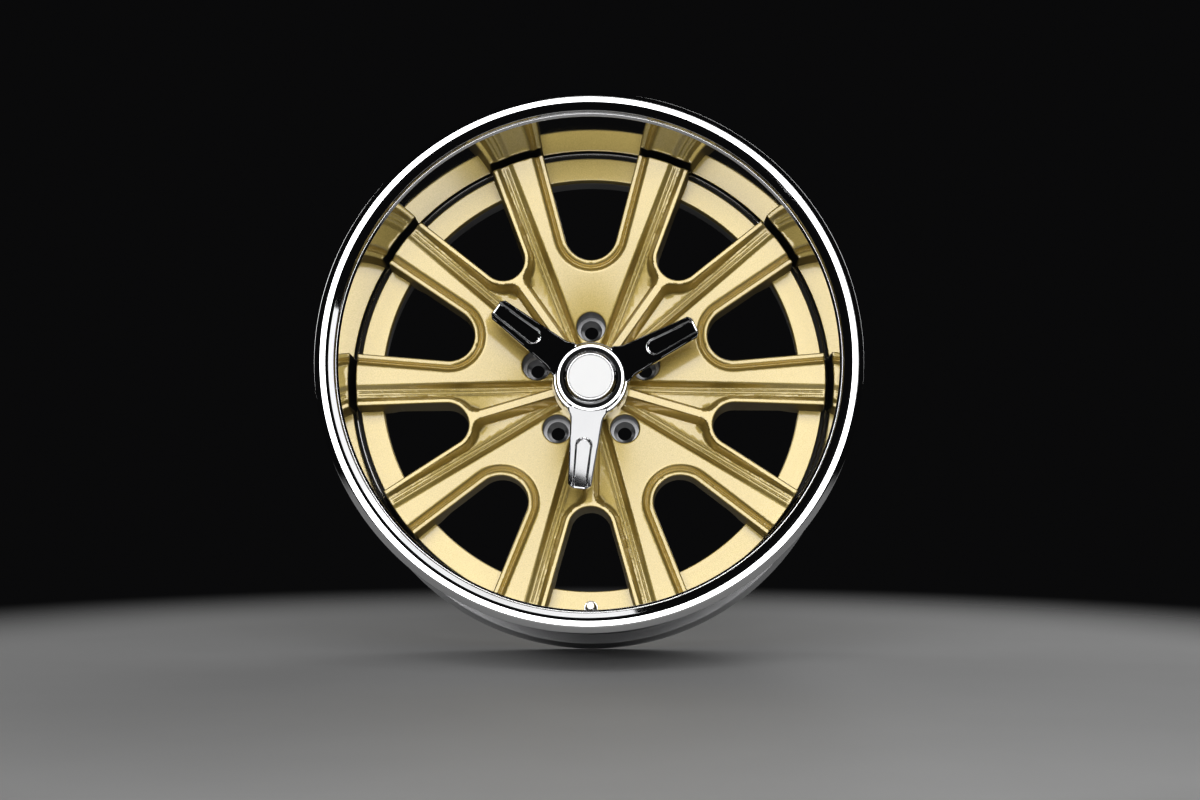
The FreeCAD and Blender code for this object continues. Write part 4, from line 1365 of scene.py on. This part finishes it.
@dataclass
class CentreCap:
    """Chromed cap with its eared spinner, bezel and blank disc. Sizes in millimetres."""

    skirt: float = 39.5
    cap_face: float = 128.0
    cap_plate: float = 4.0
    seat: float = 157.0
    seat_gap: float = 0.05
    plug: float = 33.7
    plug_bore: float = 28.0
    plug_end: float = 176.0
    ring: float = 36.8
    ring_front: float = 120.0
    ring_bevel: float = 32.4
    ring_fall: float = 2.6
    ring_shoulder: float = 34.8
    ring_edge: float = 122.2
    ring_gap: float = 0.02
    recess: float = 29.5
    recess_depth: float = 124.0
    disc: float = 22.4
    disc_front: float = 112.6
    disc_thickness: float = 1.2
    disc_gap: float = 0.05
    bezel_lip: float = 1.1
    bezel_fall: float = 1.0
    bezel_top: float = 24.2
    bezel_steps: tuple = ((24.9, 115.2, 0.4), (26.1, 116.1, 0.2), (26.4, 116.6, 0.2), (27.5, 117.4, 0.2),
                          (28.6, 117.8, 0.3), (28.8, 119.0, 0.3))
    ear_count: int = 3
    ear_degrees: float = 24.7
    ear_start: float = 32.5
    ear_tip: float = 119.75
    ear_clear: float = 1.0
    root_half: float = 17.5
    tip_half: float = 11.7
    flare_end: float = 46.0
    flare_run: float = 10.0
    flare_width: float = 3.0
    root_front: float = 121.5
    tip_front: float = 93.5
    tip_thickness: float = 8.5
    tip_round: float = 1.0
    tip_slope: float = 0.8
    ear_corner: float = 4.0
    flute_start: float = 65.0
    flute_root_half: float = 8.9
    flute_tip_half: float = 7.3
    flute_depth: float = 3.0
    flute_wall: float = 1.7
    bevel: float = 1.2
    front_bevel_slope: float = 0.85
    rear_bevel_slope: float = 0.6
    thinnest: float = 0.4
    ear_sharp: float = 34.0
    segments: int = 144
    # Spacing of an ear's vertices along it, at its tip and across it
    ear_rows: int = 26
    mouth_before: tuple = (1.5, 1.0)
    mouth_after: tuple = (1.0, 2.0)
    tip_shares: tuple = (0.75, 0.5, 0.3, 0.15, 0.05, 0.0)
    ear_columns: tuple = ((0.0, 0.55, 15), (0.57, 0.82, 16), (0.84, 1.0, 11))

    def turned(self, name: str, outline: Outline, finish: bpy.types.Material, node: str,
               slot: str) -> bpy.types.Object:
        """Turned piece of the cap with the cap's number of steps."""
        return turned_piece(name, outline, finish, node, self.segments)

    def body(self, paints: Paints) -> bpy.types.Object:
        """Chromed barrel of the cap.

        Args:
            paints: Materials.

        Returns:
            The piece.
        """
        foot, plate = self.seat - self.seat_gap, self.cap_face + self.cap_plate
        outline = Outline([
            (0, self.cap_face), (self.skirt, self.cap_face, 2.0), (self.skirt, foot, 0.6), (self.plug, foot),
            (self.plug, self.plug_end, 1.0), (self.plug_bore, self.plug_end, 0.8),
            (self.plug_bore, plate, 1.5), (0, plate)], closed=False)
        return self.turned("cap_barrel", outline, paints[FinishName.CHROME], "cap_body", "chrome")

    def bezel(self, paints: Paints) -> bpy.types.Object:
        """Stepped bezel round the disc.

        Args:
            paints: Materials.

        Returns:
            The piece.
        """
        back, bore = self.disc_front + self.disc_thickness, self.disc + self.disc_gap
        outline = Outline([
            (0, back), (bore, back), (bore, self.disc_front + self.bezel_fall, 0.1),
            (self.disc + self.bezel_lip, self.disc_front, 0.12), (self.bezel_top, self.disc_front, 0.3),
            *self.bezel_steps, (self.bezel_steps[-1][0], self.recess_depth, 0.2), (0, self.recess_depth),
        ], closed=False, steps=5)
        return self.turned("stepped_bezel", outline, paints[FinishName.CHROME], "emblem_bezel", "chrome")

    def blank_disc(self, paints: Paints) -> bpy.types.Object:
        """Plain white disc.

        Args:
            paints: Materials.

        Returns:
            The piece.
        """
        back = self.disc_front + self.disc_thickness
        outline = Outline([(0, self.disc_front), (self.disc, self.disc_front, 0.35), (self.disc, back),
                           (0, back)], closed=False, steps=4)
        return self.turned("blank_disc", outline, paints[FinishName.WHITE], "emblem_disc", "white_disc")

    def ring_mesh(self) -> bpy.types.Mesh:
        """Ring of the spinner.

        Returns:
            The mesh.
        """
        foot = self.cap_face - self.ring_gap
        outline = Outline([
            (0, self.recess_depth), (self.recess, self.recess_depth, 0.3),
            (self.recess, self.ring_front + self.ring_fall, 0.4), (self.ring_bevel, self.ring_front, 0.3),
            (self.ring_shoulder, self.ring_front, 0.6), (self.ring, self.ring_edge, 0.5),
            (self.ring, foot, 0.2), (0, foot)], closed=False, steps=6)
        mesh, _ = outline.turn(self.segments)
        finish_mesh(mesh, TURNED_SHARP)
        return mesh

    def half_width(self, out: np.ndarray) -> np.ndarray:
        """Half width of an ear.

        Args:
            out: Distances from the axis.

        Returns:
            Half widths.
        """
        share = (out - self.ear_start) / (self.ear_tip - self.ear_start)
        width = self.root_half + (self.tip_half - self.root_half) * share
        flare = np.clip((self.flare_end - out) / self.flare_run, 0.0, 1.0)
        corner = np.clip(out - (self.ear_tip - self.ear_corner), 0.0, None)
        return width + self.flare_width * flare * flare - corner

    def ear_grid(self) -> tuple[np.ndarray, np.ndarray]:
        """Places of an ear's vertices.

        Returns:
            Distances from the axis, and for each of them places across the ear.
        """
        mouth_end = self.flute_start + self.flute_root_half
        runs = ((self.ear_start, self.flute_start - self.mouth_before[0]),
                (self.flute_start - self.mouth_before[1], mouth_end + self.mouth_after[0]),
                (mouth_end + self.mouth_after[1], self.ear_tip - self.ear_corner))
        outs = np.concatenate([*(np.linspace(*run, self.ear_rows) for run in runs),
                               self.ear_tip - self.ear_corner * np.array(self.tip_shares)])
        shares = np.concatenate([np.linspace(*column) for column in self.ear_columns])
        shares = np.concatenate([-shares[:0:-1], shares])
        return outs, self.half_width(outs)[:, None] * shares[None]

    def ear_levels(self, outs: np.ndarray, across: np.ndarray) -> tuple[np.ndarray, np.ndarray]:
        """Depths of an ear's front and rear.

        Args:
            outs: Distances from the axis.
            across: Places across the ear for each of them.

        Returns:
            Depths of the fluted front and of the rear.
        """
        front = self.root_front + (self.tip_front - self.root_front) * (outs - self.ear_start) / (
            self.ear_tip - self.ear_start)
        foot = self.cap_face - self.ring_gap
        back = np.interp(outs, [self.ear_start, self.skirt + self.ear_clear, self.ear_tip],
                         [foot, foot, self.tip_front + self.tip_thickness])
        edge = self.half_width(outs)[:, None] - np.abs(across)
        bevel = np.clip(self.bevel - edge, 0.0, None)
        tip_drop = np.clip(outs - (self.ear_tip - self.tip_round), 0.0, None) * self.tip_slope
        mouth_end = self.flute_start + self.flute_root_half
        flute_half = np.interp(outs, [mouth_end, self.ear_tip], [self.flute_root_half, self.flute_tip_half])
        short = np.clip(mouth_end - outs, 0.0, None)
        into = flute_half[:, None] - np.hypot(short[:, None], across)
        flute = self.flute_depth * smooth_step(into / self.flute_wall)
        top = front[:, None] + self.front_bevel_slope * bevel + tip_drop[:, None] + flute
        return top, np.maximum(back[:, None] - self.rear_bevel_slope * bevel, top + self.thinnest)

    def ear_mesh(self) -> bpy.types.Mesh:
        """One fluted ear in the direction of the first ear.

        Returns:
            The mesh.
        """
        outs, across = self.ear_grid()
        rows, cols = across.shape
        verts = [(-across[i, k] * MM, (depth[i, k] - HUB_DEPTH) * MM, outs[i] * MM)
                 for depth in self.ear_levels(outs, across) for i in range(rows) for k in range(cols)]
        faces = []
        below = rows * cols
        for i in range(rows - 1):
            for k in range(cols - 1):
                a = i * cols + k
                quad = [a, a + 1, a + cols + 1, a + cols]
                faces += [quad, [below + q for q in reversed(quad)]]
        rim = (list(range(cols)) + [i * cols + cols - 1 for i in range(1, rows)]
               + [(rows - 1) * cols + k for k in range(cols - 2, -1, -1)]
               + [i * cols for i in range(rows - 2, 0, -1)])
        faces += [[a, below + a, below + b, b] for a, b in zip(rim, rim[1:] + rim[:1])]
        mesh = bpy.data.meshes.new("spinner_ear")
        mesh.from_pydata(verts, [], faces)
        finish_mesh(mesh, self.ear_sharp)
        mesh.transform(Matrix.Rotation(math.radians(90.0 - self.ear_degrees), 4, "Y"))
        return mesh

    def spinner(self, repeat: RingRepeat, paints: Paints) -> bpy.types.Object:
        """Ring and ears of the spinner.

        Args:
            repeat: Tree that repeats an ear.
            paints: Materials.

        Returns:
            The piece.
        """
        chrome = paints[FinishName.CHROME]
        mesh = repeat.apply(self.ear_mesh(), self.ear_count, chrome, [chrome])
        finish_mesh(mesh, self.ear_sharp)
        # Faces of the ring inside its bevel take the near-black steel finish, which makes a dark ring round
        # the bezel.
        mesh.materials.append(paints[FinishName.DARK_STEEL])
        dark = len(mesh.materials) - 1
        ring = self.ring_mesh()
        ring.polygons.foreach_set("material_index", [
            dark * (math.hypot(f.center.x, f.center.z) < self.ring_bevel * MM) for f in ring.polygons])
        join(mesh, ring, self.ear_sharp)
        return stand_in("eared_spinner", mesh, "spinner")

    def build(self, repeat: RingRepeat, paints: Paints) -> list[bpy.types.Object]:
        """Build and dress the pieces of the cap."""
        return [self.body(paints), self.spinner(repeat, paints), self.bezel(paints), self.blank_disc(paints)]


@dataclass
class TyreValve:
    """Chromed cap of the valve. Sizes in millimetres."""

    below: float = 236.0
    radius: float = 4.3
    top_inset: float = 0.5
    top_fall: float = 2.5
    front: float = 129.5
    back: float = 143.0
    neck: float = 3.2
    inside: float = 131.5
    segments: int = 48

    def build(self, paints: Paints) -> bpy.types.Object:
        """Build and dress the valve cap.

        Args:
            paints: Materials.

        Returns:
            The piece.
        """
        outline = Outline([
            (0, self.front), (self.radius - self.top_inset, self.front, 0.8),
            (self.radius, self.front + self.top_fall, 0.5), (self.radius, self.back, 0.3),
            (self.neck, self.back), (self.neck, self.inside), (0, self.inside)], closed=False, steps=5)
        return turned_piece("chrome_valve_cap", outline, paints[FinishName.CHROME], "valve_cap",
                            self.segments, self.below)


@dataclass
class CarriedSolids:
    """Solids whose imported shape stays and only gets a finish."""

    finishes: tuple = (
        ("weld_bead", FinishName.WELD), ("cap_o_ring", FinishName.RUBBER),
        ("cap_snap_ring", FinishName.STEEL), ("spinner_screws", FinishName.STEEL),
        ("valve_stem", FinishName.CHROME), ("valve_grommet", FinishName.RUBBER),
        ("valve_washer", FinishName.DARK_STEEL), ("valve_nut", FinishName.DARK_STEEL),
        ("valve_core", FinishName.BRASS), ("valve_cap_seal", FinishName.RUBBER),
    )

    def dress(self, paints: Paints) -> None:
        """Give each solid its material.

        Args:
            paints: Materials.
        """
        for node, finish in self.finishes:
            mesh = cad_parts[node].data
            mesh.materials.clear()
            mesh.materials.append(paints[finish])


@dataclass(frozen=True)
class Softbox:
    """Soft rectangular lamp that faces the wheel's centre. Sizes in metres."""

    name: str
    at: tuple
    size: tuple
    watts: float
    along: tuple = (1, 0, 0)

    def build(self) -> None:
        """Put up the lamp, with its width along the given direction."""
        data = bpy.data.lights.new(self.name, "AREA")
        data.shape = "RECTANGLE"
        data.size, data.size_y = self.size
        data.energy = self.watts
        lamp = bpy.data.objects.new(self.name, data)
        lamp.location = self.at
        back, along = Vector(self.at).normalized(), Vector(self.along)
        side = (along - back * back.dot(along)).normalized()
        lamp.rotation_euler = Matrix((side, back.cross(side), back)).transposed().to_euler()
        bpy.context.scene.collection.objects.link(lamp)


@dataclass
class Studio:
    """Camera of the photograph, soft lamps and a pale floor that lies under the leaning wheel."""

    lens_pixels: float = 2300.0
    image_width: float = 1200.0
    sensor: float = 36.0
    eye: tuple = (38.6, -2428.9, -410.8)
    tilt_degrees: float = 9.34
    turn_degrees: float = 0.70
    farthest: float = 50.0
    floor_radius: float = 1.15
    floor_fade: float = 0.45
    floor_shift: float = 0.25
    floor_segments: int = 96
    floor_grain: float = 5.0
    floor_roughness: float = 0.6
    floor_dark: Colour = (0.50, 0.50, 0.50)
    floor_light: Colour = (0.56, 0.56, 0.56)
    lowest: float = -281.5
    world_colour: tuple = (0.003, 0.003, 0.0032, 1.0)
    softboxes: tuple = (
        Softbox("front_softbox", (-0.10, -2.4, 0.40), (1.6, 1.36), 25.0),
        Softbox("right_softbox", (1.148, -1.943, 0.772), (1.29, 0.36), 1.57, (-0.45, 0.28, 1.02)),
        Softbox("upper_softbox", (0.42, -1.74, 1.445), (1.46, 0.26), 1.19, (-1.2, 0.14, 0.43)),
        Softbox("rear_softbox", (1.3, 1.5, 1.3), (2.4, 1.8), 14.0),
        Softbox("left_softbox", (-1.9, 0.9, 0.9), (1.2, 1.4), 9.0),
    )

    def axes(self) -> tuple[Vector, Vector, Vector]:
        """Directions of the camera.

        Returns:
            Right, forward and up.
        """
        tilt, turn = math.radians(self.tilt_degrees), math.radians(self.turn_degrees)
        right = Vector((math.cos(turn), math.sin(turn), 0.0))
        ahead = Vector((-math.sin(turn) * math.cos(tilt), math.cos(turn) * math.cos(tilt), math.sin(tilt)))
        return right, ahead, right.cross(ahead)

    def camera(self) -> None:
        """Put the camera where the photograph was taken."""
        data = bpy.data.cameras.new("photo_camera")
        data.sensor_width = self.sensor
        data.lens = self.lens_pixels / self.image_width * self.sensor
        data.clip_end = self.farthest
        camera = bpy.data.objects.new("photo_camera", data)
        right, ahead, up = self.axes()
        turned = Matrix((right, up, -ahead)).transposed().to_4x4()
        camera.matrix_world = Matrix.Translation(Vector(self.eye) * MM) @ turned
        bpy.context.scene.collection.objects.link(camera)
        bpy.context.scene.camera = camera

    def floor(self) -> None:
        """Pale round floor that fades out at its edge."""
        right, ahead, up = self.axes()
        work = bmesh.new()
        bmesh.ops.create_circle(work, cap_ends=True, segments=self.floor_segments, radius=self.floor_radius)
        mesh = bpy.data.meshes.new("floor")
        work.to_mesh(mesh)
        work.free()
        turned = Matrix((right, ahead, up)).transposed().to_4x4()
        middle = up * self.lowest * MM - ahead * self.floor_shift
        mesh.transform(Matrix.Translation(middle) @ turned)
        dye = Dye("pale_floor")
        grain = dye.noise(self.floor_grain, FINE_DETAIL)
        reach = dye.node("ShaderNodeVectorMath", {"operation": "DISTANCE"},
                         {0: dye.place(), 1: tuple(middle)})
        fade = dye.node("ShaderNodeMapRange", {"interpolation_type": "SMOOTHSTEP"},
                        {"Value": dye.out(reach, "Value"), "From Min": self.floor_radius - self.floor_fade,
                         "From Max": self.floor_radius, "To Min": 1.0, "To Max": 0.0})
        dye.set(Base_Color=dye.mix(grain, self.floor_dark, self.floor_light), Roughness=self.floor_roughness,
                Alpha=dye.out(fade))
        mesh.materials.append(dye.material)
        new_piece("floor", mesh)

    def light(self) -> None:
        """Put up the lamps and set the world and the view."""
        for softbox in self.softboxes:
            softbox.build()
        world = bpy.data.worlds.new("studio")
        world.use_nodes = True
        back = world.node_tree.nodes["Background"]
        back.inputs["Color"].default_value = self.world_colour
        back.inputs["Strength"].default_value = 1.0
        bpy.context.scene.world = world
        bpy.context.scene.view_settings.view_transform = "Standard"

    def build(self) -> None:
        """Set up the camera, the floor and the light."""
        self.camera()
        self.floor()
        self.light()


def main() -> None:
    """Build the wheel's pieces in order and report them."""
    logging.basicConfig(level=logging.INFO, format="%(message)s")
    paints = Paints()
    repeat = RingRepeat()
    pieces = [ForgedCentre().build(repeat, paints), RimBarrel().build(paints)]
    pieces += CentreCap().build(repeat, paints)
    pieces.append(TyreValve().build(paints))
    for piece in pieces:
        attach(piece, "root")
        piece.data.calc_loop_triangles()
        LOG.info("%s: %d triangles", piece.name, len(piece.data.loop_triangles))
    CarriedSolids().dress(paints)
    Studio().build()


if __name__ == "__main__":
    main()
